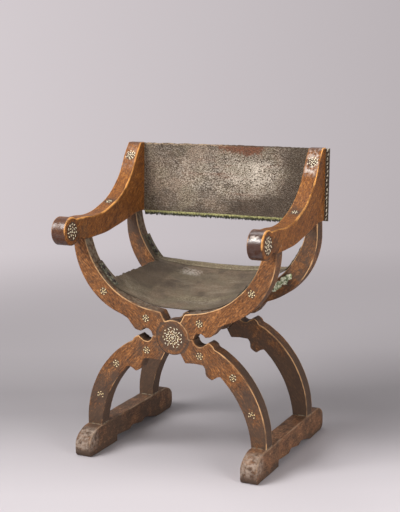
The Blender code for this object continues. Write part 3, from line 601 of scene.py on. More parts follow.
class Effects:
    """Shader groups that more than one finish uses, each built once."""

    @staticmethod
    @cache
    def grain() -> NodeTree:
        """Build the sawn grain of old wood: fibres, figure, patches, flecks and pores.

        Returns:
            The group.
        """
        sheet, given = new_tree("sawn_grain", "ShaderNodeTree",
                                {"Vector": "Vector", "Dark": "Color", "Middle": "Color", "Light": "Color"},
                                {"Color": "Color", "Height": "Float"})
        place, dark = given["Vector"], given["Dark"]
        fibres = sheet.noise(place, 1, 6, 0.65, stretch=(14, 420, 420))
        figure = sheet.noise(place, 1, 3, 0.5, 1.2, stretch=(5, 42, 30))
        patches = sheet.noise(place, 22, 4, 0.6)
        flecks = sheet.noise(place, 1, 3, 0.62, stretch=(95, 240, 240))
        pores = sheet.ease(sheet.noise(place, 1, 2, 0.5, stretch=(60, 1500, 1500)), 0.6, 0.7)
        tone = sheet.ease(fibres * 0.35 + figure * 0.3 + patches * 0.3 + flecks * 0.75, 0.56, 1.14)
        colour = sheet.mix(sheet.ease(tone, 0, 0.5), dark, given["Middle"])
        colour = sheet.mix(sheet.ease(tone, 0.5, 1), colour, given["Light"])
        sheet.add("NodeGroupOutput", {"Color": sheet.mix(pores * 0.45, colour, dark),
                                      "Height": fibres - pores * 0.6})
        return sheet.tree

    @staticmethod
    @cache
    def grime() -> NodeTree:
        """Build dirt that lies in blotches and freckles over a colour.

        Returns:
            The group.
        """
        sheet, given = new_tree("grime", "ShaderNodeTree",
                                {"Color": "Color", "Vector": "Vector", "Dirt": "Color", "Amount": "Float",
                                 "Freckles": "Float"}, {"Color": "Color", "Mask": "Float"})
        broad, fine, freckle = (sheet.noise(given["Vector"], *kind)
                                for kind in ((26, 5, 0.62), (190, 5, 0.72), (330, 3, 0.62)))
        level = broad * 0.6 + fine * 0.4 + (given["Amount"] * 0.5 - 0.25)
        freckles = sheet.ease(freckle, 0.53, 0.63) * given["Freckles"]
        mask = sheet.maths("MAXIMUM", sheet.ease(level, 0.42, 0.66) * 0.85, freckles, clamp=True)
        sheet.add("NodeGroupOutput", {"Color": sheet.mix(mask, given["Color"], given["Dirt"]),
                                      "Mask": mask})
        return sheet.tree

    @staticmethod
    @cache
    def edge_wear() -> NodeTree:
        """Build the light line on an arris: wear that handling leaves, and in part a painted highlight
        where light catches the rounded edge.

        Returns:
            The group.
        """
        sheet, given = new_tree("edge_wear", "ShaderNodeTree",
                                {"Color": "Color", "Vector": "Vector", "Arris": "Float", "Worn": "Color",
                                 "Width": "Float", "Strength": "Float"}, {"Color": "Color"})
        waver = sheet.ease(sheet.noise(given["Vector"], 60, 4, 0.6), 0.25, 0.75, 0.25, 1.5)
        held = sheet.ease(sheet.noise(given["Vector"], 14, 3, 0.55), 0.36, 0.6, 0.12, 1)
        near = sheet.maths("SUBTRACT", 1.0, given["Arris"] / (given["Width"] * waver), clamp=True)
        mask = sheet.maths("MULTIPLY", near * held, given["Strength"], clamp=True)
        sheet.add("NodeGroupOutput", {"Color": sheet.mix(mask, given["Color"], given["Worn"])})
        return sheet.tree

    @staticmethod
    @cache
    def hide() -> NodeTree:
        """Build the grain of old leather: pebbles parted by cracks.

        Returns:
            The group.
        """
        sheet, given = new_tree("hide_grain", "ShaderNodeTree", {"Vector": "Vector", "Scale": "Float"},
                                {"Cracks": "Float", "Height": "Float"})
        swirl = sheet.noise(given["Vector"], 40, 3, 0.5, output="Color")
        place = sheet.vector("ADD", given["Vector"],
                             sheet.vector("MULTIPLY", swirl, (0.006, 0.006, 0.006)))
        edges = sheet.out("ShaderNodeTexVoronoi", {"Vector": place, "Scale": given["Scale"]}, "Distance",
                          feature="DISTANCE_TO_EDGE")
        cracks = sheet.ease(edges, 0.02, 0.14, 1, 0)
        height = sheet.noise(place, 700, 3, 0.6) * 0.3 + sheet.ease(edges, 0, 0.35) - cracks * 0.4
        sheet.add("NodeGroupOutput", {"Cracks": cracks, "Height": height})
        return sheet.tree

    @staticmethod
    @cache
    def weave() -> NodeTree:
        """Build crossed threads for braid and old cloth.

        Returns:
            The group.
        """
        sheet, given = new_tree("weave", "ShaderNodeTree", {"Vector": "Vector", "Pitch": "Float"},
                                {"Threads": "Float", "Height": "Float"})
        turned = sheet.out("ShaderNodeMapping", {"Vector": given["Vector"],
                                                 "Rotation": (0, 0, math.radians(45))})
        warp, weft = (sheet.out("ShaderNodeTexWave", {"Vector": turned, "Scale": given["Pitch"],
                                                      "Distortion": 1.5, "Detail": 2.0}, "Fac",
                                bands_direction=axis) for axis in "XY")
        height = warp * weft
        sheet.add("NodeGroupOutput", {"Threads": sheet.ease(height, 0.05, 0.6), "Height": height})
        return sheet.tree


class Finish:
    """A finish that makes one material and shares it among its pieces."""

    @cache
    def material(self) -> Material:
        """Build the finish's material on first use.

        Returns:
            The material.
        """
        material = bpy.data.materials.new(self.name)
        self.draw(blank_sheet(material))
        return material

    def draw(self, sheet: NodeSheet) -> None:
        """Draw the finish's nodes."""
        raise NotImplementedError

    @staticmethod
    def shade(sheet: NodeSheet, colour: Value, roughness: object, bump: tuple[Value, float, float],
              rest: dict[str, object] | None = None) -> None:
        """Make the shader.

        Args:
            sheet: The material's sheet.
            colour: Colour over the surface.
            roughness: Roughness, as an output or a number.
            bump: The bump's height, its depth in metres and its strength.
            rest: What the shader's other inputs get.
        """
        height, depth, strength = bump
        normal = sheet.out("ShaderNodeBump", {"Strength": strength, "Distance": depth,
                                              "Height": height})
        inputs = {"Base Color": colour, "Roughness": roughness, "Normal": normal, **(rest or {})}
        sheet.add("ShaderNodeOutputMaterial", {0: sheet.out("ShaderNodeBsdfPrincipled", inputs)})


def blank_sheet(owner: Material | bpy.types.World) -> NodeSheet:
    """Empty a new material or world.

    Args:
        owner: The material or world.

    Returns:
        Its sheet.
    """
    owner.use_nodes = True
    owner.node_tree.nodes.clear()
    return NodeSheet(owner.node_tree)


@dataclass(frozen=True)
class WalnutFinish(Finish):
    """Old walnut: sawn grain, grime in blotches, and a light line on the arrises, worn by hands and partly
    a painted highlight.
    """

    name: str = "walnut_members"
    dark: Colour = (0.05, 0.021, 0.011)
    middle: Colour = (0.21, 0.083, 0.028)
    light: Colour = (0.48, 0.205, 0.068)
    # The arris line's colour: wear, and in part a painted highlight.
    worn: Colour = (0.74, 0.43, 0.2)
    dirt: Colour = (0.07, 0.049, 0.037)
    stain: Colour = (0.052, 0.018, 0.009)
    pale: Colour = (0.4, 0.345, 0.24)
    pale_spread: float = 0.11
    grime: float = 0.36
    freckles: float = 0.75
    wear_width: float = 0.0014
    wear: float = 0.8
    roughness: float = 0.42
    gloss: float = 0.18
    polish_roughness: float = 0.22
    bump_depth: float = 0.0011
    bump_strength: float = 0.55

    def draw(self, sheet: NodeSheet) -> None:
        """Draw the walnut.

        Args:
            sheet: The material's sheet.
        """
        own, stain = sheet.own(), sheet.attribute("stain")
        grain = sheet.group(Effects.grain(), Vector=sheet.attribute("grain", "Vector"), Dark=self.dark,
                            Middle=self.middle, Light=self.light)
        end_grain = sheet.ease(sheet.attribute("end_grain"), 0.55, 0.95) * 0.55
        colour = sheet.mix(stain, sheet.mix(end_grain, grain["Color"], self.dark), self.stain)
        dirt = sheet.group(Effects.grime(), Color=colour, Vector=own, Dirt=self.dirt,
                           Amount=sheet.attribute("dirt") + self.grime, Freckles=self.freckles)
        # The light arris line: wear, and in part a painted highlight.
        worn = sheet.group(Effects.edge_wear(), Color=dirt["Color"], Vector=own, Worn=self.worn,
                           Arris=sheet.attribute("arris"), Width=self.wear_width, Strength=self.wear)
        # Pale spots: rubbed wood, and on the arms a painted highlight too.
        worn_and_glint_spots = sheet.ease(sheet.noise(own, 85, 4, 0.62), 0.51 - self.pale_spread,
                                0.51 + self.pale_spread)
        colour = sheet.mix(sheet.attribute("pale") * worn_and_glint_spots, worn["Color"], self.pale)
        handled = sheet.ease(sheet.noise(own, 55, 4, 0.6), 0.34, 0.6, 0.15, 1)
        dents, scratches = sheet.noise(own, 90, 4, 0.6), sheet.noise(own, 240, 5, 0.7)
        height = grain["Height"] * 0.35 + dents * 0.9 + scratches * 0.3
        self.shade(sheet, colour, dirt["Mask"] * 0.22 + self.roughness - stain * 0.08,
                   (height, self.bump_depth, self.bump_strength),
                   {"Specular IOR Level": self.gloss, "Coat Weight": stain * handled,
                    "Coat Roughness": self.polish_roughness})


@dataclass(frozen=True)
class LeatherFinish(Finish):
    """Old leather, cracked, specked and rubbed, with painted sheen in streaks and painted glints among its
    pale specks.
    """

    name: str = "seat_leather_hide"
    base: Colour = (0.226, 0.163, 0.107)
    tint: Colour = (0.188, 0.151, 0.097)
    deep: Colour = (0.086, 0.062, 0.041)
    streak: Colour = (0.35, 0.29, 0.205)
    speck: Colour = (0.66, 0.59, 0.52)
    red: Colour = (0.23, 0.085, 0.04)
    edge: Colour = (0.315, 0.262, 0.15)
    pebbles: float = 420.0
    speck_share: float = 0.05
    dark_specks: float = 0.0
    pits: float = 0.15
    roughness: float = 0.52
    gloss: float = 0.22
    bump_depth: float = 0.0006
    bump_strength: float = 0.5

    def draw(self, sheet: NodeSheet) -> None:
        """Draw the leather.

        Args:
            sheet: The material's sheet.
        """
        own, (shine, dark, red) = sheet.own(), map(sheet.attribute, ("shine", "dark", "red"))
        hide = sheet.group(Effects.hide(), Vector=own, Scale=self.pebbles)
        sheen_streaks = sheet.ease(sheet.noise(own, 1, 5, 0.6, 0.6, stretch=(6, 26, 42)), 0.5, 0.72)
        blotches = sheet.ease(sheet.noise(own, 16, 4, 0.55), 0.3, 0.6)
        hue = sheet.ease(sheet.noise(own, 11, 3, 0.55), 0.42, 0.58)
        colour = sheet.mix(blotches, self.deep, sheet.mix(hue, self.base, self.tint))
        # Painted sheen: pale streaks over the leather.
        colour = sheet.mix(sheen_streaks * 0.6, colour, self.streak)
        creases = sheet.ease(sheet.noise(own, 1, 4, 0.6, 1, stretch=(5, 30, 70)), 0.56, 0.7)
        reddened = sheet.maths("MAXIMUM", red, creases * sheet.attribute("streaked"))
        colour = sheet.mix(reddened, colour, self.red)
        colour = sheet.mix(hide["Cracks"] * 0.75, colour, self.deep)
        fine = sheet.noise(own, 1, 5, 0.68, stretch=(185, 185, 380))
        colour = sheet.mix(sheet.ease(fine, 0.5, 0.39) * self.pits, colour, self.deep)
        # The dark mark: darker leather, and painted shadow and shade where the marks put them.
        colour = sheet.mix(dark, colour, self.deep)
        # Painted glints: pale specks, most where the leather is glossy; some are worn crests of the grain.
        glint_specks = sheet.maths("MULTIPLY", sheet.ease(fine + shine * 0.1, 0.515, 0.575),
                             shine * 0.75 + self.speck_share, clamp=True)
        glint_specks *= sheet.ease(red, 0, 1, 1, 0.25)
        glint_specks *= sheet.ease(dark, 0, 1, 1, self.dark_specks)
        colour = sheet.mix(glint_specks, colour, self.speck)
        colour = sheet.mix(sheet.attribute("rubbed") * sheet.ease(fine, 0.4, 0.58), colour, self.edge)
        self.shade(sheet, colour, hide["Cracks"] * 0.2 - shine * 0.16 + self.roughness,
                   (hide["Height"], self.bump_depth, self.bump_strength),
                   {"Specular IOR Level": self.gloss})


@dataclass(frozen=True)
class Layer:
    """A colour that lies in spots over what is under it."""

    colour: Colour
    spots: Triple
    low: float
    high: float
    share: float = 1.0


@dataclass(frozen=True)
class LayeredFinish(Finish):
    """Colours that lie in spots over each other, on a weave where there is a pitch."""

    name: str
    base: Colour
    layers: tuple[Layer, ...]
    roughness: float
    bump_depth: float
    bump_strength: float = 0.5
    pitch: float = 0.0
    threads: Colour | None = None
    fuzz: float = 0.0

    def draw(self, sheet: NodeSheet) -> None:
        """Draw the layers.

        Args:
            sheet: The material's sheet.
        """
        own, colour = sheet.own(), self.base
        woven = sheet.group(Effects.weave(), Vector=own, Pitch=self.pitch) if self.pitch else {}
        if self.threads:
            colour = sheet.mix(woven["Threads"], colour, self.threads)
        for layer in self.layers:
            spots = sheet.noise(own, *layer.spots)
            colour = sheet.mix(sheet.ease(spots, layer.low, layer.high) * layer.share, colour,
                               layer.colour)
        self.shade(sheet, colour, self.roughness,
                   (woven.get("Height", spots), self.bump_depth, self.bump_strength),
                   {"Sheen Weight": self.fuzz})


@dataclass(frozen=True)
class FringeFinish(Finish):
    """Green silk strands, bright at the top and dark with dirt at their ends."""

    name: str = "green_fringe"
    bright: Colour = (0.52, 0.5, 0.2)
    dull: Colour = (0.235, 0.222, 0.085)
    dirty: Colour = (0.034, 0.034, 0.014)
    waver: float = 0.014
    dirt_start: float = -0.0046
    dirt_end: float = -0.0003

    def draw(self, sheet: NodeSheet) -> None:
        """Draw the strands.

        Args:
            sheet: The material's sheet.
        """
        own = sheet.own()
        tint = sheet.noise(own, 170, 3, 0.6)
        level = sheet.attribute("drop") - sheet.noise(own, 230, 2) * self.waver
        colour = sheet.mix(sheet.ease(tint, 0.35, 0.65), self.dull, self.bright)
        colour = sheet.mix(sheet.ease(level, self.dirt_start, self.dirt_end), colour, self.dirty)
        self.shade(sheet, colour, 0.75, (tint, 0.0004, 0.4), {"Sheen Weight": 0.3})


@dataclass(frozen=True)
class IronFinish(Finish):
    """Forged iron, dark and rusted in spots."""

    name: str = "old_iron"
    metal: Colour = (0.045, 0.04, 0.036)
    rust: Colour = (0.105, 0.048, 0.022)

    def draw(self, sheet: NodeSheet) -> None:
        """Draw the iron.

        Args:
            sheet: The material's sheet.
        """
        spots = sheet.noise(sheet.own(), 420, 5, 0.65)
        rusted = sheet.ease(spots, 0.5, 0.64)
        self.shade(sheet, sheet.mix(rusted, self.metal, self.rust), rusted * 0.3 + 0.4,
                   (spots, 0.0005, 0.6), {"Metallic": sheet.ease(rusted, 0, 1, 0.8, 0.1)})


DARKENED = Layer((0.26, 0.17, 0.085), (300, 2, 0.5), 0.62, 0.7, 0.7)


def bone_finish(name: str, bright: Colour, yellow: Colour) -> LayeredFinish:
    """Return bone and pale wood slivers, yellowed, some of them darkened."""
    layers = (Layer(yellow, (180, 3, 0.6), 0.44, 0.66), DARKENED)
    return LayeredFinish(name, bright, layers, 0.42, 0.0002, 0.4)


def specked_finish(name: str, light: Colour, dark: Colour, middle: float = 0.5) -> LayeredFinish:
    """Return two tones in fine specks: waxed thread, and the mastic that inlay is set in."""
    layer = Layer(dark, (600, 2, 0.5), middle - 0.12, middle + 0.12)
    return LayeredFinish(name, light, (layer,), 0.7, 0.0003)


class Finishes:
    """The chair's finishes."""

    members = WalnutFinish()
    # On the arms the pale colour paints highlights as well as rubbed wood.
    arms = WalnutFinish("walnut_arms", (0.055, 0.02, 0.009), (0.24, 0.084, 0.02), (0.47, 0.19, 0.043),
                        (0.86, 0.4, 0.11), pale=(0.7, 0.61, 0.54), grime=0.3, freckles=0.65,
                        wear_width=0.0025, wear=0.95, roughness=0.46, gloss=0.15)
    runners = WalnutFinish("walnut_runners", (0.04, 0.024, 0.016), (0.24, 0.108, 0.052),
                           (0.45, 0.23, 0.11), (0.5, 0.34, 0.22), pale=(0.43, 0.34, 0.27),
                           pale_spread=0.17, grime=0.29, freckles=0.6, wear_width=0.0018, wear=0.45,
                           roughness=0.55)
    pegs = WalnutFinish("walnut_pegs", worn=(0.55, 0.34, 0.18), wear=0.5, grime=0.45)
    seat = LeatherFinish()
    # The back's strong pale speck and streak colours paint glints and sheen.
    back = LeatherFinish("back_leather_hide", (0.405, 0.292, 0.203), (0.32, 0.255, 0.165),
                         (0.085, 0.06, 0.041), (0.43, 0.33, 0.245), (0.84, 0.73, 0.6),
                         (0.265, 0.08, 0.03), (0.52, 0.38, 0.25), pebbles=250.0, speck_share=0.3,
                         dark_specks=0.25, pits=0.8, roughness=0.48, gloss=0.32, bump_depth=0.0014,
                         bump_strength=0.95)
    braid = LayeredFinish("old_braid", (0.04, 0.04, 0.03),
                          (Layer((0.29, 0.262, 0.165), (130, 4, 0.65), 0.46, 0.64),), 0.88, 0.0006, 0.7,
                          pitch=220.0, threads=(0.165, 0.15, 0.085), fuzz=0.08)
    remnant = LayeredFinish("torn_cloth", (0.06, 0.065, 0.04),
                            (Layer((0.23, 0.28, 0.13), (95, 4, 0.65), 0.36, 0.52),
                             Layer((0.7, 0.71, 0.52), (150, 3, 0.6), 0.45, 0.55)), 0.85, 0.0005, 0.6,
                            pitch=300.0, fuzz=0.2)
    fringe = FringeFinish()
    iron = IronFinish()
    bone = bone_finish("old_bone", (0.94, 0.85, 0.62), (0.76, 0.62, 0.35))
    gold_bone = bone_finish("yellowed_bone", (1.0, 0.86, 0.5), (0.88, 0.62, 0.24))
    thread = specked_finish("waxed_thread", (0.62, 0.55, 0.39), (0.13, 0.105, 0.075))
    edge_thread = specked_finish("cream_thread", (0.66, 0.6, 0.46), (0.2, 0.17, 0.12), 0.62)
    mastic = specked_finish("dark_mastic", (0.125, 0.06, 0.03), (0.04, 0.021, 0.013))


def new_object(name: str, data: ID) -> Object:
    """Add an object to the scene.

    Args:
        name: Its name.
        data: Its mesh, light or camera.

    Returns:
        The object.
    """
    ob = bpy.data.objects.new(name, data)
    bpy.context.scene.collection.objects.link(ob)
    return ob


def new_piece(name: str, mesh: Mesh, finish: Finish, body: str | None = None,
              nodes: Sequence[str] = (), crisp_degrees: float | None = None) -> Object:
    """Make a piece from a finished mesh that already lies in its place.

    Args:
        name: The piece's name.
        mesh: Its mesh in the chair's frame.
        finish: Its finish.
        body: The body that carries it, for what isn't soft.
        nodes: The frame's nodes that it stands for.
        crisp_degrees: Edges that turn more than this stay sharp.

    Returns:
        The piece.
    """
    mesh.name = name
    mesh.materials.clear()
    mesh.materials.append(finish.material())
    mesh.shade_smooth()
    if crisp_degrees is not None:
        mesh.set_sharp_from_angle(angle=math.radians(crisp_degrees))
    ob = new_object(name, mesh)
    if nodes:
        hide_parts(*nodes)
    if body:
        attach(ob, body)
    log.info("%s: %d faces, %s", name, len(mesh.polygons), finish.name)
    return ob


def evaluated_mesh(ob: Object) -> Mesh:
    """Turn an object with its modifiers into a plain mesh, and remove the object.

    Args:
        ob: The object.

    Returns:
        The mesh.
    """
    bpy.context.view_layer.update()
    mesh = bpy.data.meshes.new_from_object(ob.evaluated_get(bpy.context.evaluated_depsgraph_get()))
    bpy.data.objects.remove(ob, do_unlink=True)
    return mesh


def temporary(mesh: Mesh) -> Object:
    """Put a mesh into an object for a modifier's sake."""
    return new_object("temporary", mesh)


def store(mesh: Mesh, name: str, values: Sequence) -> None:
    """Keep a number or a vector at each point of a mesh.

    Args:
        mesh: The mesh.
        name: What the values are called.
        values: One for each point.
    """
    data = np.array(values, np.float32)
    kind, key = ("FLOAT", "value") if data.ndim == 1 else ("FLOAT_VECTOR", "vector")
    mesh.attributes.new(name, kind, "POINT").data.foreach_set(key, data.ravel())


def mesh_from(build: Callable[[bmesh.types.BMesh], None]) -> Mesh:
    """Make a mesh through a bmesh.

    Args:
        build: Fills the bmesh in.

    Returns:
        The mesh.
    """
    mesh = bpy.data.meshes.new("shape")
    shape = bmesh.new()
    build(shape)
    shape.to_mesh(mesh)
    shape.free()
    return mesh


def lathe(profile: Sequence[Point], sides: int, place: Matrix | None = None) -> Mesh:
    """Turn a closed solid about Z.

    Args:
        profile: Radius and height of each ring from the bottom up, the first and the last on the axis.
        sides: Number of sides.
        place: Where the solid goes.

    Returns:
        The mesh.
    """
    verts, rings = [], []
    for radius, height in profile:
        first = len(verts)
        if radius == 0:
            verts.append((0, 0, height))
            rings.append([first] * sides)
        else:
            turns = (2 * math.pi * i / sides for i in range(sides))
            verts += [(radius * math.cos(turn), radius * math.sin(turn), height) for turn in turns]
            rings.append(range(first, first + sides))
    faces = [list(dict.fromkeys((low[i - 1], low[i], high[i], high[i - 1])))
             for low, high in zip(rings, rings[1:]) for i in range(sides)]
    mesh = bpy.data.meshes.new("turned")
    mesh.from_pydata(verts, [], faces)
    mesh.transform(place or Matrix())
    return mesh


def joined(parts: Sequence[tuple[Mesh, Matrix]]) -> Mesh:
    """Join several meshes into one.

    Args:
        parts: Each mesh with the matrix of its place.

    Returns:
        The mesh of all.
    """
    def build(shape: bmesh.types.BMesh) -> None:
        """Add each part.

        Args:
            shape: The bmesh that they go into.
        """
        for part, place in parts:
            before = len(shape.verts)
            shape.from_mesh(part)
            shape.verts.ensure_lookup_table()
            bmesh.ops.transform(shape, matrix=place, verts=shape.verts[before:])
    return mesh_from(build)


class Look(NamedTuple):
    """How stained, dirty and pale a point of a plank is, and how many metres the light arris line stays
    away.
    """

    stain: float = 0.0
    # Dirt holds painted shade on the left runner.
    dirt: float = 0.0
    # Pale is rubbed wood, and on the arms a painted highlight too.
    pale: float = 0.0
    # Spared keeps the arris line, partly a painted highlight, away from an arris.
    spared: float = 0.0


@dataclass
class Plank:
    """A piece sawn from one plank, with arrises worn round."""

    name: str
    outline: list[Point]
    thickness: float
    place: Matrix
    grain_degrees: float
    seed: int
    look: Callable[[Vector], Look]
    corner_blur: float = 0.0016
    spacing: float = 0.0026
    least_wear: float = 0.0009
    most_wear: float = 0.0026
    sample: float = 0.001
    blur_reach: int = 6
    blur_limit: float = 1.15
    hollow_share: float = 0.7
    line_inset: float | None = None
    line_half_width: float = 0.0007
    line_depth: float = 0.0006
    circles: tuple[tuple[Point, float], ...] = ()
    circle_margin: float = 0.0032
    groove_depth: float = 0.0008
    rim_rows: int = 4
    rim_insets: Point = (0.0012, 0.003)
    plain_inset: float = 0.0055
    last_inset: float = 0.009
    wall_steps: tuple[float, ...] = (0.0012, 0.003, 0.0065)
    grid_step: float = 0.0072
    grid_margin: float = 0.0115
    grid_clearance: float = 0.003

    def build(self, cutters: Sequence[Mesh] = ()) -> Mesh:
        """Make the plank's mesh in its place.

        Args:
            cutters: Solids in the plank's own frame that are cut out of it.

        Returns:
            The mesh, with its wear, grain and dirt kept at its points.
        """
        self.trace()
        mesh = self.slab()
        if cutters:
            mesh = self.cut(mesh, cutters)
        self.dress(mesh)
        mesh.transform(self.place)
        return mesh

    def trace(self) -> None:
        """Resample the outline evenly, blur its corners and work out how worn each arris is."""
        points = np.array(self.outline)
        points = points[np.linalg.norm(points - np.roll(points, 1, axis=0), axis=1) > 1e-6]
        closed = np.vstack([points, points[:1]])
        along = np.concatenate([[0], np.cumsum(np.linalg.norm(np.diff(closed, axis=0), axis=1))])
        even = np.linspace(0, along[-1], int(along[-1] / self.sample), endpoint=False)
        dense = np.stack([np.interp(even, along, closed[:, k]) for k in (0, 1)], axis=1)
        steps = range(-self.blur_reach, self.blur_reach + 1)
        weights = np.exp(-0.5 * (np.array(steps) * self.sample / self.corner_blur) ** 2)
        weights /= weights.sum()
        self.dense = sum(w * np.roll(dense, k, axis=0) for w, k in zip(weights, steps))
        forward = np.roll(self.dense, -2, axis=0) - np.roll(self.dense, 2, axis=0)
        forward /= np.linalg.norm(forward, axis=1)[:, None]
        self.inward = np.stack([-forward[:, 1], forward[:, 0]], axis=1)
        turn = np.roll(forward, -2, axis=0) - np.roll(forward, 2, axis=0)
        bend = (turn * self.inward).sum(axis=1) / (4 * self.sample)
        worn = []
        for (x, y), curve in zip(self.dense, bend):
            broad, fine = wave(x * 18, y * 18, self.seed * 7.3), wave(x * 90, y * 90, self.seed * 3.1)
            share = min(max(0.5 + 0.9 * broad + 0.35 * fine, 0), 1)
            radius = self.least_wear + (self.most_wear - self.least_wear) * share
            worn.append(min(radius, self.hollow_share / curve) if curve > 1e-6 else radius)
        blurred = sum(w * np.roll(np.array(worn), k) for w, k in zip(weights, steps))
        self.worn = np.minimum(blurred, np.array(worn) * self.blur_limit)
        self.tree = KDTree(len(self.dense))
        for i, (x, y) in enumerate(self.dense):
            self.tree.insert((x, y, 0), i)
        self.tree.balance()

    def inside(self, points: np.ndarray) -> np.ndarray:
        """Find which points lie inside the outline.

        Args:
            points: The points, one in a row.

        Returns:
            True for each point that lies inside.
        """
        a, b = self.dense, np.roll(self.dense, -1, axis=0)
        x, y = points[:, :1], points[:, 1:]
        spans = (a[:, 1] > y) != (b[:, 1] > y)
        with np.errstate(divide="ignore", invalid="ignore"):
            cross = a[:, 0] + (y - a[:, 1]) / (b[:, 1] - a[:, 1]) * (b[:, 0] - a[:, 0])
        return (spans & (x < cross)).sum(axis=1) % 2 == 1

    def inner_points(self, pick: np.ndarray) -> np.ndarray:
        """Lay out the points inside a face: rings that follow the edge, circles and a grid.

        Args:
            pick: The numbers of the outline's points that the rim uses.

        Returns:
            The points, one in a row.
        """
        line, aside = self.line_inset, self.line_half_width
        middle = [line - aside, line, line + aside] if line else [self.plain_inset]
        insets = [*self.rim_insets, *middle, self.last_inset]
        found = []
        for number, inset in enumerate(insets):
            some = pick if number < 2 or line else pick[::2]
            offset = self.worn[some][:, None] + inset if number < 2 else inset
            found.append((self.dense[some] + self.inward[some] * offset, inset * 0.93))
        for centre, radius in self.circles:
            count = int(2 * math.pi * radius / self.spacing)
            found.append((np.array(arc(centre, radius, 0, 2 * math.pi, count)[:-1]),
                          self.circle_margin))
        low, high = self.dense.min(axis=0), self.dense.max(axis=0)
        step, rise = self.grid_step, self.grid_step * TRIANGLE_RISE
        rows = [(low[0] + (i + (j % 2) / 2) * step, low[1] + j * rise)
                for i in range(int((high[0] - low[0]) / step) + 2)
                for j in range(int((high[1] - low[1]) / rise) + 2)]
        clear = [point for point in rows
                 if all(abs(math.dist(point, centre) - radius) >= self.grid_clearance
                        for centre, radius in self.circles)]
        found.append((np.array(clear), self.grid_margin))
        return np.array([(x, y) for points, least in found for x, y in points[self.inside(points)]
                         if self.tree.find((x, y, 0))[2] >= least])

    def relief(self, x: float, y: float, face: int) -> float:
        """Work out how far a point of a face is sunk by a cut line.

        Args:
            x: Place along the outline's first axis.
            y: Place along its second axis.
            face: 1 for the face at plus half the thickness, -1 for the other.

        Returns:
            The depth in metres.
        """
        deep = 0.0
        edge = self.tree.find((x, y, 0))[2]
        if self.line_inset and abs(edge - self.line_inset) < 0.0004:
            deep = self.line_depth * eased(wave(x * 9, y * 9, self.seed + face * 5.0), -1 / 6, 1 / 6)
        # The middle circle of each three is the line of a groove.
        for centre, radius in self.circles[1::3]:
            if abs(math.dist((x, y), centre) - radius) < 0.0003 and edge > self.grid_clearance:
                deep = self.groove_depth
        return deep

    def slab(self) -> Mesh:
        """Make the plank's closed mesh: two faces, rounded rims and the walls between.

        Returns:
            The mesh about the plank's own middle plane.
        """
        pick = np.arange(0, len(self.dense), max(1, round(self.spacing / self.sample)))
        count, half = len(pick), self.thickness / 2
        edge, inward, worn = self.dense[pick], self.inward[pick], self.worn[pick]
        turns = [QUARTER_TURN * k / self.rim_rows for k in range(self.rim_rows + 1)]
        rows = [(worn * (1 - math.cos(turn)), worn * (1 - math.sin(turn)) - half)
                for turn in turns[::-1]]
        rows += [(worn * 0, worn - half + drop) for drop in self.wall_steps]
        rows = rows + [(worn * 0, worn * 0)] + [(inset, -height) for inset, height in rows[::-1]]
        verts = [(x, y, z) for inset, height in rows
                 for (x, y), z in zip(edge + inward * inset[:, None], height)]
        faces = [(low + i, low + (i + 1) % count, low + count + (i + 1) % count, low + count + i)
                 for low in range(0, (len(rows) - 1) * count, count) for i in range(count)]
        rim = edge + inward * worn[:, None]
        coords = [Vector((x, y)) for x, y in np.vstack([rim, self.inner_points(pick)])]
        flat, _, tris, origins, _, _ = delaunay_2d_cdt(coords, [], [list(range(count))], 1, 1e-7)
        for face, first in ((-1, 0), (1, (len(rows) - 1) * count)):
            index = []
            for point, sources in zip(flat, origins):
                on_rim = sources and min(sources) < count
                index.append(first + min(sources) if on_rim else len(verts))
                if not on_rim:
                    verts.append((*point, face * (half - self.relief(*point, face))))
            corners = ([index[j] for j in tri] for tri in tris)
            faces += [tuple(some[::face]) for some in corners if len(set(some)) == len(some)]
        mesh = bpy.data.meshes.new(self.name)
        mesh.from_pydata(verts, [], faces)
        mesh.validate()
        return mesh

    @staticmethod
    def cut(mesh: Mesh, cutters: Sequence[Mesh]) -> Mesh:
        """Cut solids out of a mesh.

        Args:
            mesh: The mesh.
            cutters: The solids.

        Returns:
            What is left.
        """
        ob = temporary(mesh)
        tools = [temporary(cutter) for cutter in cutters]
        for tool in tools:
            boolean = ob.modifiers.new("cut", "BOOLEAN")
            boolean.operation = "DIFFERENCE"
            boolean.solver = "EXACT"
            boolean.object = tool
        result = evaluated_mesh(ob)
        for tool in tools:
            bpy.data.objects.remove(tool, do_unlink=True)
        return result

    def dress(self, mesh: Mesh) -> None:
        """Keep each point's distance to the arris, its place in the grain and its look.

        Args:
            mesh: The plank's mesh about its own middle plane.
        """
        half, turned = self.thickness / 2, self.place.to_3x3()
        facing = turned @ Vector((0, 0, 1))
        turn = math.radians(self.grain_degrees)
        along = Vector((math.cos(turn), math.sin(turn), 0))
        across = Vector((-math.sin(turn), math.cos(turn), 0))
        kept = {name: [] for name in ("arris", "end_grain", "stain", "dirt", "pale", "grain")}
        for vert in mesh.vertices:
            x, y, z = vert.co
            _, nearest, distance = self.tree.find((x, y, 0))
            outward = turned @ Vector((*-self.inward[nearest], 0))
            stain, dirt, pale, spared = self.look(self.place @ vert.co)
            arris = max(max(distance, half - abs(z)) - self.worn[nearest], 0) + spared
            # The light arris line is partly a painted highlight, so it is kept off arrises that face down
            # and off those of a face that looks left.
            arris += 0.006 * max(0.15 - outward.z - 0.9 * max(outward.x, 0), 0)
            arris += 0.0015 * max(-facing.x * math.copysign(1, z), 0)
            grain = (vert.co.dot(along) + self.seed * 1.7, vert.co.dot(across) + self.seed * 0.9,
                     z + self.seed * 0.4)
            end_grain = abs(vert.normal.dot(along))
            for values, value in zip(kept.values(), (arris, end_grain, stain, dirt, pale, grain)):
                values.append(value)
        for name, values in kept.items():
            store(mesh, name, values)


